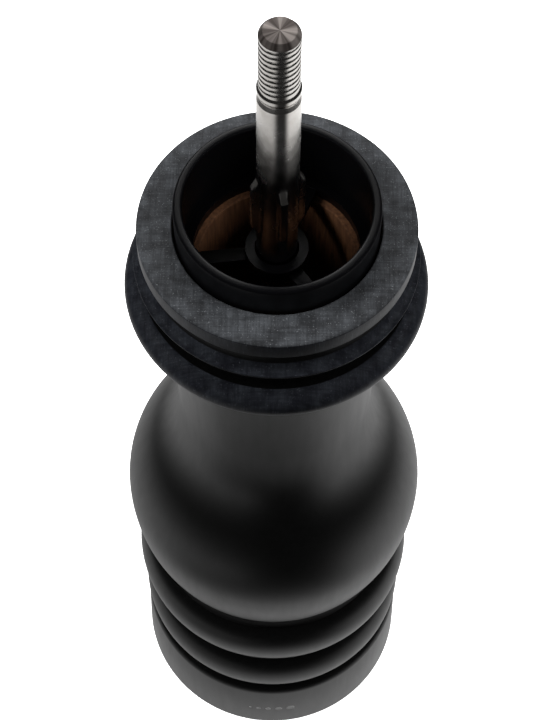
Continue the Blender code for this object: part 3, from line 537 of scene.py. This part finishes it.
# %% Ramps
LIFT, FULL_TURN_DEG, RAMP_DEG = 1.2 * MM, 90, 104
RAMP_SPARE_DEG = (RAMP_DEG - FULL_TURN_DEG) / 2
RAMP_RISE = LIFT * RAMP_DEG / FULL_TURN_DEG
RAMP_LOW, RAMP_T = FLANGE_LOW - LIFT * RAMP_SPARE_DEG / FULL_TURN_DEG, 0.55 * MM
RAMP_IN_R, RAMP_OUT_R = 18.4 * MM, FLANGE_R + 0.3 * MM


def ramp_surface(start, steps=40):
    """A rectangle of corners (r, z), carried to angle start - t sweep and height z + t rise."""
    t = np.linspace(0, 1, steps)[None, :]
    edge = 0.1 * MM
    section = fillet(
        [
            (RAMP_OUT_R, RAMP_LOW + RAMP_T, edge),
            (RAMP_OUT_R, RAMP_LOW, edge),
            (RAMP_IN_R, RAMP_LOW, edge),
            (RAMP_IN_R, RAMP_LOW + RAMP_T, edge),
        ],
        steps=3,
    )
    a = start - t * math.radians(RAMP_DEG)
    x, y = section[:, :1] * np.cos(a), section[:, :1] * np.sin(a)
    return np.stack([x, y, section[:, 1:2] + t * RAMP_RISE], axis=-1)


def capped(name, grid, sharp_deg=40):
    """A rod whose two ends close on the middle of their own outline."""
    poles = [grid[:, 0].mean(axis=0), grid[:, -1].mean(axis=0)]
    return skin(name, grid, poles, sharp_deg)


def go_with_ring(piece, material):
    """An extra piece that turns with the setting ring."""
    piece.data.materials.append(material)
    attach(piece, "setting_ring")


for k in range(3):
    surface = ramp_surface(math.radians(RAMP_SPARE_DEG + 120 * k))
    go_with_ring(capped(f"ring_ramp_{k + 1}", surface), BLACK_LACQUER)
print("three ramps rise", round(RAMP_RISE / MM, 2), "mm each")

# %% [markdown]
# ## Printed marks
#
# A row of dots that grow from fine to coarse is printed on the front of the ring. Each dot
# is a very thin lens of ink that follows the curve of the ring.

# %% Ink and dots
GREY_INK, ink_shader = new_material("grey_ink_pad_printed", Roughness=0.6, IOR=1.3)
tint(GREY_INK, ink_shader, even_pattern(GREY_INK, 0.4), (0.3, "#b4b4b4"), (0.7, "#cccccc"))
INK_T, DOT_Z = 0.02 * MM, 8.8 * MM
SMALLEST_DOT_R, DOT_GROWTH = 0.35 * MM, 0.16 * MM
DOT_MIDDLE_DEG, DOT_STEP_DEG, DOT_WIDENING_DEG = -92, 3.6, 0.25
LENS_SHARES = np.array([0.35, 0.75, 0.95, 1.0, 1.0, 0.95, 0.75, 0.35])
LENS_LIFTS = np.array([1, 1, 0.9, 0.6, -1, -1, -1, -1])


def dot_surface(size, turn):
    """A lens of ink: each point's distance from the dot's middle becomes an angle and a height,
    and its radius follows the slope of the ring's side, plus the ink's thickness."""
    around = np.arange(28)[:, None] / 28 * math.tau
    across = LENS_SHARES * size
    slope = (RING_TOP_R - RING_FOOT_R) / RING_TOP
    middle_r = RING_FOOT_R + slope * DOT_Z
    rise = across * np.sin(around)
    r = middle_r + slope * rise + LENS_LIFTS * INK_T
    a = turn + across * np.cos(around) / middle_r
    return np.stack([r * np.cos(a), r * np.sin(a), DOT_Z + rise], axis=-1)


for k in range(5):
    size = SMALLEST_DOT_R + DOT_GROWTH * k
    turn_deg = DOT_MIDDLE_DEG + DOT_STEP_DEG * (k - 2) + DOT_WIDENING_DEG * k * k
    dot = capped(f"setting_dot_{k + 1}", dot_surface(size, math.radians(turn_deg)))
    go_with_ring(dot, GREY_INK)
print("five dots, the largest", round(2 * size / MM, 2), "mm across")

# %% [markdown]
# ## Black moulded plastic
#
# The collar that the head turns on and the three-armed guide are injection moulded in black
# nylon. It is satin, with a very fine even grain from the mould.

# %% Black nylon


def black_nylon():
    made, shader = new_material("black_nylon_moulded", Roughness=0.36, IOR=1.35)
    shader.inputs["Base Color"].default_value = linear("#040405")
    emboss(made, shader, even_pattern(made, 0.25), 0.06, 0.02)
    return made


BLACK_NYLON = black_nylon()
print("made", BLACK_NYLON.name)

# %% [markdown]
# ## Mouth collar
#
# A plain sleeve, pushed into the mouth. Its rim is rounded, and the rounding catches a thin
# line of light that sets it off from the dark bore.

# %% Collar
COLLAR_WALL = 1.6 * MM
collar_low, collar_high = low_z("collar_bush"), high_z("collar_bush")
collar = lathe(
    "mouth_collar",
    fillet(
        [
            (COLLAR_R, collar_high, 0.5 * MM),
            (COLLAR_R, collar_low, 0.3 * MM),
            (COLLAR_R - COLLAR_WALL, collar_low, 0.3 * MM),
            (COLLAR_R - COLLAR_WALL, collar_high, 0.5 * MM),
        ]
    ),
)
collar.data.materials.append(BLACK_NYLON)
stand_for(collar, "collar_bush", "mill")

# %% [markdown]
# ## Guide
#
# The guide sits on the ledge and keeps the shaft in the middle. The frame's guide has the
# right shape, so a copy of it is merged and its edges are rounded with a bevel.

# %% Rounded copies of frame pieces


def rounded_copy(node, name, body, material, width_mm=0.25, segments=3):
    """A merged copy of a frame node, with its sharp edges bevelled."""
    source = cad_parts[node]
    mesh = source.data.copy()
    mesh.transform(source.matrix_world)
    mesh.materials.clear()
    bm = bmesh.new()
    bm.from_mesh(mesh)
    bmesh.ops.remove_doubles(bm, verts=bm.verts, dist=0.002 * MM)
    bmesh.ops.dissolve_limit(bm, angle_limit=math.radians(1), verts=bm.verts, edges=bm.edges)
    bm.to_mesh(mesh)
    bm.free()
    mesh.polygons.foreach_set("use_smooth", np.ones(len(mesh.polygons), bool))
    mesh.set_sharp_from_angle(angle=math.radians(35))
    mesh.materials.append(material)
    made = in_scene(name, mesh)
    bevel = made.modifiers.new("soft edges", "BEVEL")
    bevel.width = width_mm * MM
    bevel.segments = segments
    bevel.limit_method = "ANGLE"
    bevel.angle_limit = math.radians(40)
    bevel.harden_normals = True
    stand_for(made, node, body)


rounded_copy("shaft_guide", "mouth_guide", "mill", BLACK_NYLON)

# %% [markdown]
# ## Turned steel
#
# The shaft is drawn steel, turned on a lathe, so very fine rings run round it. They stretch
# each highlight along the shaft's length.

# %% Turned steel
MARK_W, MARK_LENGTH = 0.12 * MM, 50 / 3 * MM


def turned_steel():
    made, shader = new_material("drawn_steel_turned", Metallic=1.0)
    smears = even_pattern(made, 3.0, 3.0)
    tint(made, shader, smears, (0.3, "#b9b5b0"), (0.7, "#d6d3cf"))
    gloss = add(made, "ShaderNodeMapRange", Value=smears, To_Min=0.16, To_Max=0.34)
    link(made, gloss.outputs["Result"], shader.inputs["Roughness"])
    place = add(made, "ShaderNodeTexCoord").outputs["Object"]
    scale = (1 / MARK_LENGTH, 1 / MARK_LENGTH, 1 / MARK_W)
    rings = add(made, "ShaderNodeMapping", Vector=place, Scale=scale).outputs["Vector"]
    marks = add(made, "ShaderNodeTexNoise", Vector=rings, Scale=1.0, Detail=2.0)
    emboss(made, shader, marks.outputs["Fac"], 0.1, 0.02)
    return made


TURNED_STEEL = turned_steel()
print("made", TURNED_STEEL.name)

# %% [markdown]
# The tip is faced off: the tool moves in to the middle and leaves fine rings round it, which
# bump the surface. The fans of light such rings throw are painted into the colour as a painted
# reflection, so the colour varies with bearing only.

# %% Faced steel
RING_MARK_W = 0.6 * MM


def faced_steel():
    made, shader = new_material("steel_faced_off", Metallic=0.8, Roughness=0.5)
    place = add(made, "ShaderNodeTexCoord").outputs["Object"]
    flat = add(made, "ShaderNodeMapping", Vector=place, Scale=(1, 1, 0)).outputs["Vector"]
    unit = {"operation": "NORMALIZE"}
    outward = add(made, "ShaderNodeVectorMath", unit, Vector=flat).outputs["Vector"]
    # Painted reflection: light and dark fans by bearing, put into the base colour.
    painted_fans = add(made, "ShaderNodeTexNoise", Vector=outward, Scale=1.7, Detail=2.0)
    tint(made, shader, painted_fans.outputs["Fac"], (0.38, "#4c4542"), (0.66, "#a59d98"))
    settings = {"wave_type": "RINGS", "rings_direction": "SPHERICAL"}
    scale = 1 / RING_MARK_W
    waves = add(made, "ShaderNodeTexWave", settings, Vector=flat, Scale=scale, Distortion=0.4)
    emboss(made, shader, waves.outputs["Color"], 0.5, 0.02)
    return made


FACED_STEEL = faced_steel()
print("made", FACED_STEEL.name)

# %% [markdown]
# ## Drive shaft
#
# One surface makes the whole shaft: its radius is a function of the angle and the height.
# The plain outline comes first. The thread then takes away a groove whose depth depends on
# height minus angle, which is what makes it a true helix and not a stack of rings. The four
# ears, pressed out of the round shaft, add to the radius. The flats at the foot limit it.

# %% Shaft sizes
SHAFT_R, TIP_R, TIP_CHAMFER_H, JOURNAL_R = 3.5 * MM, 2.6 * MM, 0.9 * MM, 2.2 * MM
THREAD_R, THREAD_DEPTH, THREAD_PITCH, THREAD_TURNS = 3.25 * MM, 0.13 * MM, 1.1 * MM, 10
THREAD_TOP = SHAFT_TOP - 1.3 * MM
THREAD_FOOT = THREAD_TOP - THREAD_PITCH * THREAD_TURNS
GROOVE_STEEPNESS = 4.4  # the groove then takes 2 / 4.4 of the pitch
RUN_IN_ABOVE, RUN_IN, RUN_OUT = 0.6 * MM, 1.0 * MM, 0.8 * MM
UNDERCUT, SHOULDER_LINE = 0.25 * MM, 0.3 * MM
SHOULDER_FOOT = SHAFT_TOP - 13.7 * MM
EAR_OUT, EAR_LENGTH, EAR_TAPER = 1.1 * MM, 15.0 * MM, 2.2 * MM
EAR_FOOT_HALF_W, EAR_SIDE, EAR_DENT = 0.95 * MM, 0.5 * MM, 0.1 * MM
EAR_MIDDLE_Z, EAR_TURN = SHAFT_TOP - 43.6 * MM, math.radians(15)
FLAT_HALF_W, CLIP_GAP, CLIP_GROOVE_R = 2.6 * MM, 0.15 * MM, 2.9 * MM
BURR_FOOT = low_z("inner_burr")
CLIP_LOW, CLIP_HIGH = low_z("retaining_clip"), high_z("retaining_clip")
FLATS_TOP = CLIP_LOW + 3.1 * MM
SHAFT_FOOT = low_z("drive_shaft")


def shaft_rows():
    """(radius, height) down the shaft: corners with small roundings, then extra rows where
    the thread, the ears and the flats need them."""
    centre_r, crisp = 0.02 * MM, 0.05 * MM
    corners = [
        (centre_r, SHAFT_TOP, 0),
        (TIP_R, SHAFT_TOP, 0.25 * MM),
        (THREAD_R, SHAFT_TOP - TIP_CHAMFER_H, 0.4 * MM),
        (THREAD_R, THREAD_FOOT - 0.15 * MM, 0),
        (THREAD_R - UNDERCUT, THREAD_FOOT - 0.3 * MM, crisp),
        (SHAFT_R, THREAD_FOOT - 0.55 * MM, 0.15 * MM),
        (SHAFT_R, SHOULDER_FOOT, 0.3 * MM),
        (SHAFT_R - SHOULDER_LINE, SHOULDER_FOOT - 0.9 * MM, 0.2 * MM),
        (SHAFT_R, SHOULDER_FOOT - 1.8 * MM, 0.3 * MM),
        (SHAFT_R, CLIP_HIGH + CLIP_GAP, crisp),
        (CLIP_GROOVE_R, CLIP_HIGH + CLIP_GAP, crisp),
        (CLIP_GROOVE_R, CLIP_LOW - CLIP_GAP, crisp),
        (SHAFT_R, CLIP_LOW - CLIP_GAP, crisp),
        (SHAFT_R, BURR_FOOT, 0.2 * MM),
        (JOURNAL_R, BURR_FOOT, crisp),
        (JOURNAL_R, SHAFT_FOOT, 0.3 * MM),
        (centre_r, SHAFT_FOOT, 0),
    ]
    chain = fillet(corners, steps=4)
    lengths = np.concatenate([[0], np.cumsum(np.hypot(*np.diff(chain, axis=0).T))])
    ears_top, ears_foot = EAR_MIDDLE_Z + EAR_LENGTH / 2, EAR_MIDDLE_Z - EAR_LENGTH / 2
    heights = [
        np.linspace(THREAD_TOP + THREAD_PITCH, THREAD_FOOT, 150),
        np.linspace(SHOULDER_FOOT - 2 * MM, ears_top, 12),
        np.linspace(ears_top, ears_foot, 48),
        np.linspace(ears_foot, CLIP_HIGH + 4 * MM, 40),
        np.linspace(FLATS_TOP + 0.1 * MM, FLATS_TOP - 0.1 * MM, 3),
    ]
    going_down = np.interp(-np.concatenate(heights), -chain[:, 1], lengths)
    along = np.unique(np.round(np.concatenate([lengths, going_down]), 9))
    return np.stack([np.interp(along, lengths, chain[:, k]) for k in range(2)], axis=1)


def smooth_step(x):
    """Rises from 0 to 1 with level ends: 3x^2 - 2x^3."""
    x = np.clip(x, 0, 1)
    return x * x * (3 - 2 * x)


def square_hole(a, half_w):
    """The radius at which a ray at angle a meets the side of a square."""
    return half_w / np.maximum(np.abs(np.cos(a)), np.abs(np.sin(a)))


def shaft_surface(columns=160):
    """Radius over (angle, height): outline, less the helical groove, plus ears, within flats."""
    r, z = shaft_rows().T
    a = np.arange(columns)[:, None] / columns * math.tau
    r = np.broadcast_to(r[None, :], (columns, len(z))).copy()
    phase = (z[None, :] - THREAD_TOP) / THREAD_PITCH - a / math.tau
    groove = np.clip(1 - GROOVE_STEEPNESS * np.abs(phase - np.round(phase)), 0, 1)
    run_in = smooth_step((THREAD_TOP + RUN_IN_ABOVE - z) / RUN_IN)
    run_out = smooth_step((z - THREAD_FOOT) / RUN_OUT)
    r -= THREAD_DEPTH * groove * (run_in * run_out)[None, :]
    turn = (a - EAR_TURN + math.pi / 4) % (math.pi / 2) - math.pi / 4
    across = np.clip((EAR_FOOT_HALF_W - np.abs(turn) * SHAFT_R) / EAR_SIDE, 0, 1)
    from_end = EAR_LENGTH / 2 - np.abs(z - EAR_MIDDLE_Z)
    ear = EAR_OUT * across * np.clip(from_end / EAR_TAPER, 0, 1)[None, :]
    dent = EAR_DENT * (1 - across) * smooth_step(from_end / EAR_TAPER)[None, :]
    r += ear - dent * np.cos(2 * turn) ** 2
    on_flat = ((z < FLATS_TOP) & (z > BURR_FOOT - 0.01 * MM))[None, :]
    r = np.where(on_flat, np.minimum(r, square_hole(a, FLAT_HALF_W)), r)
    return np.stack([r * np.cos(a), r * np.sin(a), np.broadcast_to(z, r.shape)], axis=-1)


# %% Shaft
shaft = skin("drive_shaft_threaded", shaft_surface(), poles=[(0, 0, SHAFT_TOP), (0, 0, SHAFT_FOOT)])
shaft.data.materials.append(TURNED_STEEL)
shaft.data.materials.append(FACED_STEEL)
normals = np.empty(len(shaft.data.polygons) * 3)
shaft.data.polygons.foreach_get("normal", normals)
on_tip = (normals[2::3] > 0.3) & (face_middles(shaft)[1] > SHAFT_TOP - 1.2 * MM)
shaft.data.polygons.foreach_set("material_index", on_tip.astype(np.int32))
print("faced faces on the tip:", int(on_tip.sum()))
stand_for(shaft, "drive_shaft", "rotor")

# %% [markdown]
# ## Inside the foot
#
# The grinding works are seen only from below or through the mouth. Each gets the finish of
# how it is really made: zinc alloy from a die has a dull cast skin, case-hardened steel is
# dark from the heat, and sintered bronze is a mass of fine grains.

# %% Works materials


def works_metal(name, roughness, spot_mm, detail, dark, light, relief=None):
    """A metal with spots of one size, darker and lighter, and a relief of (strength, depth)."""
    made, shader = new_material(name, Metallic=1.0, Roughness=roughness)
    spots = even_pattern(made, spot_mm, detail)
    tint(made, shader, spots, (0.3, dark), (0.7, light))
    if relief:
        emboss(made, shader, spots, *relief)
    return made


DIE_CAST = works_metal("zinc_alloy_die_cast", 0.5, 0.8, 4.0, "#94979a", "#b4b6b8", (0.15, 0.04))
HARD_STEEL = works_metal("steel_case_hardened", 0.4, 2.5, 3.0, "#55565a", "#77757a")
BRONZE = works_metal("bronze_sintered", 0.45, 0.3, 2.0, "#8a6638", "#b88c50", (0.2, 0.03))
print("made", DIE_CAST.name, HARD_STEEL.name, BRONZE.name)

# %% [markdown]
# ## Burrs
#
# Both burrs are toothed cones: the inner one has its teeth outside, the outer one inside. The
# radius of the toothed side is the cone's radius less a tooth's depth times a triangle wave
# round the axis. The wave's phase turns with height, so the teeth lean, and the two burrs
# lean opposite ways and shear the pepper between them.

# %% Toothed cones
TOOTH_DEPTH, TOOTH_TWIST = 1.3 * MM, math.radians(32)
TOOTH_STEEPNESS, CREST_FLAT = 1.15, 0.08
INNER_TEETH, OUTER_TEETH = 14, 18
COLUMNS_PER_TOOTH, TOOTHED_ROWS, PLAIN_ROWS = 12, 20, 6
CONE_LOW, CONE_HIGH, RING_LOW = low_z("inner_burr"), high_z("inner_burr"), low_z("outer_burr")
INNER_FOOT_R, CONE_TAPER, MILLING_GAP = radius("inner_burr"), 4.9 * MM, 1.0 * MM
INNER_TOP_R, OUTER_TOP_R = INNER_FOOT_R - CONE_TAPER, INNER_FOOT_R - 0.9 * MM
CONE_SLOPE = CONE_TAPER / (CONE_HIGH - CONE_LOW)
OUTER_FOOT_R = INNER_FOOT_R - CONE_SLOPE * (RING_LOW - CONE_LOW) + MILLING_GAP


def toothed_cone(name, node, body, plain_r, foot_r, top_r, teeth, outward):
    """The toothed side runs down at angle a, and the plain side runs back up."""
    low, high = low_z(node), high_z(node)
    columns = teeth * COLUMNS_PER_TOOTH
    a = np.arange(columns)[:, None] / columns * math.tau
    t = np.linspace(1, 0, TOOTHED_ROWS)[None, :]
    phase = (a - TOOTH_TWIST * t * outward) * teeth / math.tau
    wave = np.abs(phase - np.round(phase)) * 2
    cut = smooth_step(np.clip(wave * TOOTH_STEEPNESS - CREST_FLAT, 0, 1)) - (1 - outward) / 2
    toothed = foot_r + (top_r - foot_r) * t - TOOTH_DEPTH * cut
    plain = np.broadcast_to(plain_r(a), (columns, PLAIN_ROWS))
    r = np.hstack([toothed, plain])
    down, up = low + (high - low) * t, np.linspace(low, high, PLAIN_ROWS)[None, :]
    z = np.broadcast_to(np.hstack([down, up]), r.shape)
    piece = skin(name, np.stack([r * np.cos(a), r * np.sin(a), z], axis=-1))
    piece.data.materials.append(HARD_STEEL)
    stand_for(piece, node, body)


def drive_hole(a):
    """A square hole that fits the shaft's flats."""
    return square_hole(a, FLAT_HALF_W + GAP)


def round_side(a):
    """The plain outside of the grinding ring."""
    return np.full_like(a, radius("outer_burr"))


cone_sizes = (drive_hole, INNER_FOOT_R, INNER_TOP_R, INNER_TEETH, 1)
toothed_cone("grinding_cone", "inner_burr", "rotor", *cone_sizes)
ring_sizes = (round_side, OUTER_FOOT_R, OUTER_TOP_R, OUTER_TEETH, -1)
toothed_cone("grinding_ring", "outer_burr", "mill", *ring_sizes)

# %% [markdown]
# ## Spring, washers and bush
#
# The spring is a round wire on a helix. Its first and last turns climb less, as on a spring
# whose ends are closed. In the mill it is squashed as the carrier rises; here it is built at
# one length. The washers and the bush are small lathe pieces.

# %% Spring
WIRE_R, SPRING_TURNS, CLOSED_SHARE = 0.45 * MM, 5, 0.25
SPRING_R = radius("return_spring") - WIRE_R
SPRING_LOW, SPRING_HIGH = low_z("return_spring"), high_z("return_spring")


def wire_surface(columns=360, around=14):
    """Circles of wire at angle turns x t, at a height that eases in and out along t."""
    t = np.linspace(0, 1, columns)[None, :]
    b = np.arange(around)[:, None] / around * math.tau
    a = t * SPRING_TURNS * math.tau
    climb = (1 - CLOSED_SHARE) * t + CLOSED_SHARE * smooth_step(t)
    r = SPRING_R + WIRE_R * np.cos(b)
    free = SPRING_HIGH - SPRING_LOW - 2 * WIRE_R
    z = SPRING_LOW + WIRE_R + free * climb + WIRE_R * np.sin(b)
    return np.stack([r * np.cos(a), r * np.sin(a), z], axis=-1)


spring = capped("pressing_spring", wire_surface(), sharp_deg=60)
spring.data.materials.append(TURNED_STEEL)
stand_for(spring, "return_spring", "mill")
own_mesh(spring)

# %% Washers and bush
SHAFT_BORE_R, STEP_BORE_R = SHAFT_R + GAP, 2.5 * MM
BUSH_R, BUSH_FLANGE_R, BUSH_FLANGE_T = SHAFT_BORE_R + 1.3 * MM, radius("bridge_bush"), 0.8 * MM
SMALL_TURNS = 72


def small_ring(name, node, bore_r, material, body):
    """A washer: a rectangle with soft corners, carried round."""
    low, high, outer, soft = low_z(node), high_z(node), radius(node), 0.15 * MM
    corners = [(outer, high, soft), (outer, low, soft), (bore_r, low, soft), (bore_r, high, soft)]
    piece = lathe(name, fillet(corners, steps=4), SMALL_TURNS)
    piece.data.materials.append(material)
    stand_for(piece, node, body)


small_ring("step_washer", "thrust_washer", STEP_BORE_R, BRONZE, "rotor")
small_ring("cup_washer", "spring_washer", SHAFT_BORE_R, TURNED_STEEL, "rotor")
bush_low, bush_high = low_z("bridge_bush"), high_z("bridge_bush")
bush = lathe(
    "flanged_bush",
    fillet(
        [
            (BUSH_R, bush_high, 0.2 * MM),
            (BUSH_R, bush_low + BUSH_FLANGE_T, 0.1 * MM),
            (BUSH_FLANGE_R, bush_low + BUSH_FLANGE_T, 0.15 * MM),
            (BUSH_FLANGE_R, bush_low, 0.15 * MM),
            (SHAFT_BORE_R, bush_low, 0.15 * MM),
            (SHAFT_BORE_R, bush_high, 0.2 * MM),
        ],
        steps=4,
    ),
    SMALL_TURNS,
)
bush.data.materials.append(BRONZE)
stand_for(bush, "bridge_bush", "mill")

# %% [markdown]
# ## Castings, plate, clip and screws
#
# These shapes come from the frame. Each gets a bevel as wide as its real edge would have.

# %% Rounded works
WORKS = [
    ("burr_housing", "housing_casting", "mill", "cast_metal", DIE_CAST, 0.2),
    ("shaft_bridge", "bridge_casting", "mill", "cast_metal", DIE_CAST, 0.2),
    ("adjust_carrier", "carrier_casting", "carrier", "cast_metal", DIE_CAST, 0.2),
    ("ring_retainer", "retaining_plate", "mill", "cast_metal", DIE_CAST, 0.15),
    ("retaining_clip", "open_clip", "rotor", "hard_steel", HARD_STEEL, 0.08),
]
for kind in ("housing", "retainer"):
    for k in range(1, 4):
        WORKS.append((f"{kind}_screw_{k}", f"{kind}_bolt_{k}", "mill", "bright_steel", TURNED_STEEL, 0.08))
for node_name, piece_name, body_name, slot_name, finish, width in WORKS:
    rounded_copy(node_name, piece_name, body_name, finish, width, segments=2)
print("rounded", len(WORKS), "pieces of the works")

# %% [markdown]
# ## Floor
#
# The mill stands on a white table that is lit from below, so it stays white right up to the
# foot and throws no shadow. A plane with a white diffuse finish would turn grey near the
# mill, so this one also emits light of its own.

# %% Floor


def backlit_acrylic():
    """A white sheet that glows a little, lit from below."""
    made, shader = new_material("white_acrylic_backlit", Roughness=0.9)
    shader.inputs["Specular IOR Level"].default_value = 0.0
    shader.inputs["Base Color"].default_value = linear("#f0f0f0")
    shader.inputs["Emission Color"].default_value = linear("#ffffff")
    shader.inputs["Emission Strength"].default_value = 1.1
    return made


def flat_sheet(name, half, height, material):
    """A square sheet of twice the half width, level and facing up."""
    mesh = bpy.data.meshes.new(name)
    corners = [(x * half, y * half, height) for x, y in ((-1, -1), (1, -1), (1, 1), (-1, 1))]
    mesh.from_pydata(corners, [], [(0, 1, 2, 3)])
    mesh.materials.append(material)
    return in_scene(name, mesh)


FLOOR_HALF = 2.0
floor = flat_sheet("floor", FLOOR_HALF, 0, backlit_acrylic())
floor.visible_glossy = floor.visible_diffuse = False
print("floor is", 2 * FLOOR_HALF, "m wide")

# %% [markdown]
# ## What the gloss sees
#
# Black lacquer and polished steel show mostly what they reflect. The table is hidden from
# reflections, and a smaller glowing card just under it is seen only by them. The card fades
# with distance. In front it has a dark wedge that starts a hand's width from the middle and
# narrows further out, so the front of the belly reflects a dark room and its sides a bright
# table. The wedge's bearing is measured from straight ahead, positive to the right.

# %% Reflection card
CARD_HALF, CARD_Z = 0.6, -0.002
GLOW_REACH, GLOW_DARK = 0.4, 0.03
GLOW_STOPS = [(0.1, 0.85), (0.34, 0.08), (0.16, 1.1), (0.2, 1.0)]  # (distance in m, share)
GLOW_SIDES = {"From_Min": -0.05, "From_Max": 0.05, "To_Min": 0.95, "To_Max": 1.3}
NARROWING = {"From_Min": 0.12, "From_Max": 0.16}
WEDGE_BEARING = {"To_Min": math.radians(-8), "To_Max": math.radians(14), **NARROWING}
WEDGE_SPREAD = {"To_Min": math.radians(80), "To_Max": math.radians(42), **NARROWING}
WEDGE_EDGE = {"From_Min": 0.4, "From_Max": 1.0, "To_Min": 1.0, "To_Max": 0.0}
WEDGE_START = {"From_Min": 0.055, "From_Max": 0.105}
EASED = {"interpolation_type": "SMOOTHSTEP"}


def wedge(made, x, y, far):
    """1 inside the dark wedge and 0 outside it. The angle off the wedge's middle is divided by
    its spread, and near the mill the wedge fades out."""
    middle = add(made, "ShaderNodeMapRange", EASED, Value=far, **WEDGE_BEARING).outputs["Result"]
    spread = add(made, "ShaderNodeMapRange", EASED, Value=far, **WEDGE_SPREAD).outputs["Result"]
    ahead = add(made, "ShaderNodeMath", {"operation": "MULTIPLY"}, _0=y, _1=-1.0).outputs["Value"]
    off = x
    steps = [("ARCTAN2", ahead), ("SUBTRACT", middle), ("ABSOLUTE", 0), ("DIVIDE", spread)]
    for operation, other in steps:
        off = add(made, "ShaderNodeMath", {"operation": operation}, _0=off, _1=other).outputs["Value"]
    within = add(made, "ShaderNodeMapRange", EASED, Value=off, **WEDGE_EDGE).outputs["Result"]
    beyond = add(made, "ShaderNodeMapRange", EASED, Value=far, **WEDGE_START).outputs["Result"]
    both = add(made, "ShaderNodeMath", {"operation": "MULTIPLY"}, _0=within, _1=beyond)
    return both.outputs["Value"]


def table_glow(made, x, far):
    """The glow at a distance, times a share that grows from the left to the right."""
    side = add(made, "ShaderNodeMapRange", EASED, Value=x, **GLOW_SIDES).outputs["Result"]
    reach = add(made, "ShaderNodeMapRange", Value=far, From_Max=GLOW_REACH).outputs["Result"]
    curve = add(made, "ShaderNodeValToRGB", Fac=reach)
    curve.color_ramp.interpolation = "EASE"
    for k, (distance, share) in enumerate(GLOW_STOPS):
        position = distance / GLOW_REACH
        stop = curve.color_ramp.elements[k] if k < 2 else curve.color_ramp.elements.new(position)
        stop.position, stop.color = position, (share, share, share, 1)
    shares = {"_0": side, "_1": curve.outputs["Color"]}
    return add(made, "ShaderNodeMath", {"operation": "MULTIPLY"}, **shares).outputs["Value"]


def table_in_reflections():
    made, shader = new_material("reflected_table_glow", Roughness=1.0)
    shader.inputs["Base Color"].default_value = (0, 0, 0, 1)
    shader.inputs["Specular IOR Level"].default_value = 0.0
    shader.inputs["Emission Color"].default_value = (1, 1, 1, 1)
    place = add(made, "ShaderNodeTexCoord").outputs["Object"]
    apart = add(made, "ShaderNodeSeparateXYZ", Vector=place).outputs
    far = add(made, "ShaderNodeVectorMath", {"operation": "LENGTH"}, Vector=place).outputs["Value"]
    dark = wedge(made, apart["X"], apart["Y"], far)
    lit = table_glow(made, apart["X"], far)
    glow = add(made, "ShaderNodeMapRange", Value=dark, To_Min=lit, To_Max=GLOW_DARK)
    link(made, glow.outputs["Result"], shader.inputs["Emission Strength"])
    return made


card = flat_sheet("reflected_table", CARD_HALF, CARD_Z, table_in_reflections())
card.visible_camera = card.visible_diffuse = card.visible_shadow = False
print("one card lies just under the table")

# %% [markdown]
# ## Lights
#
# A large soft light hangs behind and above the mill, and two more stand at its sides, the
# left one a little stronger. Reflections don't see the side lights, which keeps hard spots
# off the belly. The front stays dark, so the lacquer is black where it faces the eye and
# bright only where it is seen at a glancing angle.

# %% Lights


def softbox(name, place, aim, width, height, power, mirrored=True):
    """An area light of a given size in metres, turned to face a point."""
    light = bpy.data.lights.new(name, "AREA")
    light.shape = "RECTANGLE"
    light.size, light.size_y, light.energy = width, height, power
    made = in_scene(name, light)
    made.location = place
    made.rotation_euler = (Vector(aim) - Vector(place)).to_track_quat("-Z", "Y").to_euler()
    made.visible_glossy = mirrored


TOP = (0, 0, SEAT_Z)
softbox("light_behind", (-0.05, 0.85, 0.72), TOP, 0.7, 0.5, 4)
softbox("light_left", (-0.68, -0.04, 0.66), TOP, 0.5, 0.5, 13, mirrored=False)
softbox("light_right", (0.68, 0.0, 0.64), TOP, 0.5, 0.5, 11, mirrored=False)
world = bpy.data.worlds.new("room")
bpy.context.scene.world = world
world.use_nodes = True
world.node_tree.nodes["Background"].inputs["Color"].default_value = (0.03, 0.03, 0.03, 1)
bpy.context.scene.view_settings.view_transform = "Standard"
print("three softboxes and a dim room")

# %% [markdown]
# ## Camera
#
# The camera stands close in front and looks steeply down, so the foot looks smaller than the
# rings at the top, and the bore can be seen through the mouth.

# %% Camera
TILT_DEG, ROLL_DEG, TURN_DEG = 29.384, -0.256, 0.789
camera_data = bpy.data.cameras.new("camera")
camera_data.lens, camera_data.sensor_width = 91.86, 36
camera_data.clip_start, camera_data.clip_end = 0.01, 20
camera = in_scene("camera", camera_data)
camera.location = (0, -0.17137, 0.42901)
camera.rotation_euler = tuple(math.radians(angle) for angle in (TILT_DEG, ROLL_DEG, TURN_DEG))
bpy.context.scene.camera = camera
print("camera looks down at", round(90 - TILT_DEG, 1), "degrees")

# %% [markdown]
# ## Box corners
#
# A small helper turns a box's corners into plain lists of numbers. The new pieces must
# stay inside the frame's box.

# %% Box corners as plain numbers


def plain(bounds):
    return [[float(value) for value in corner] for corner in bounds]
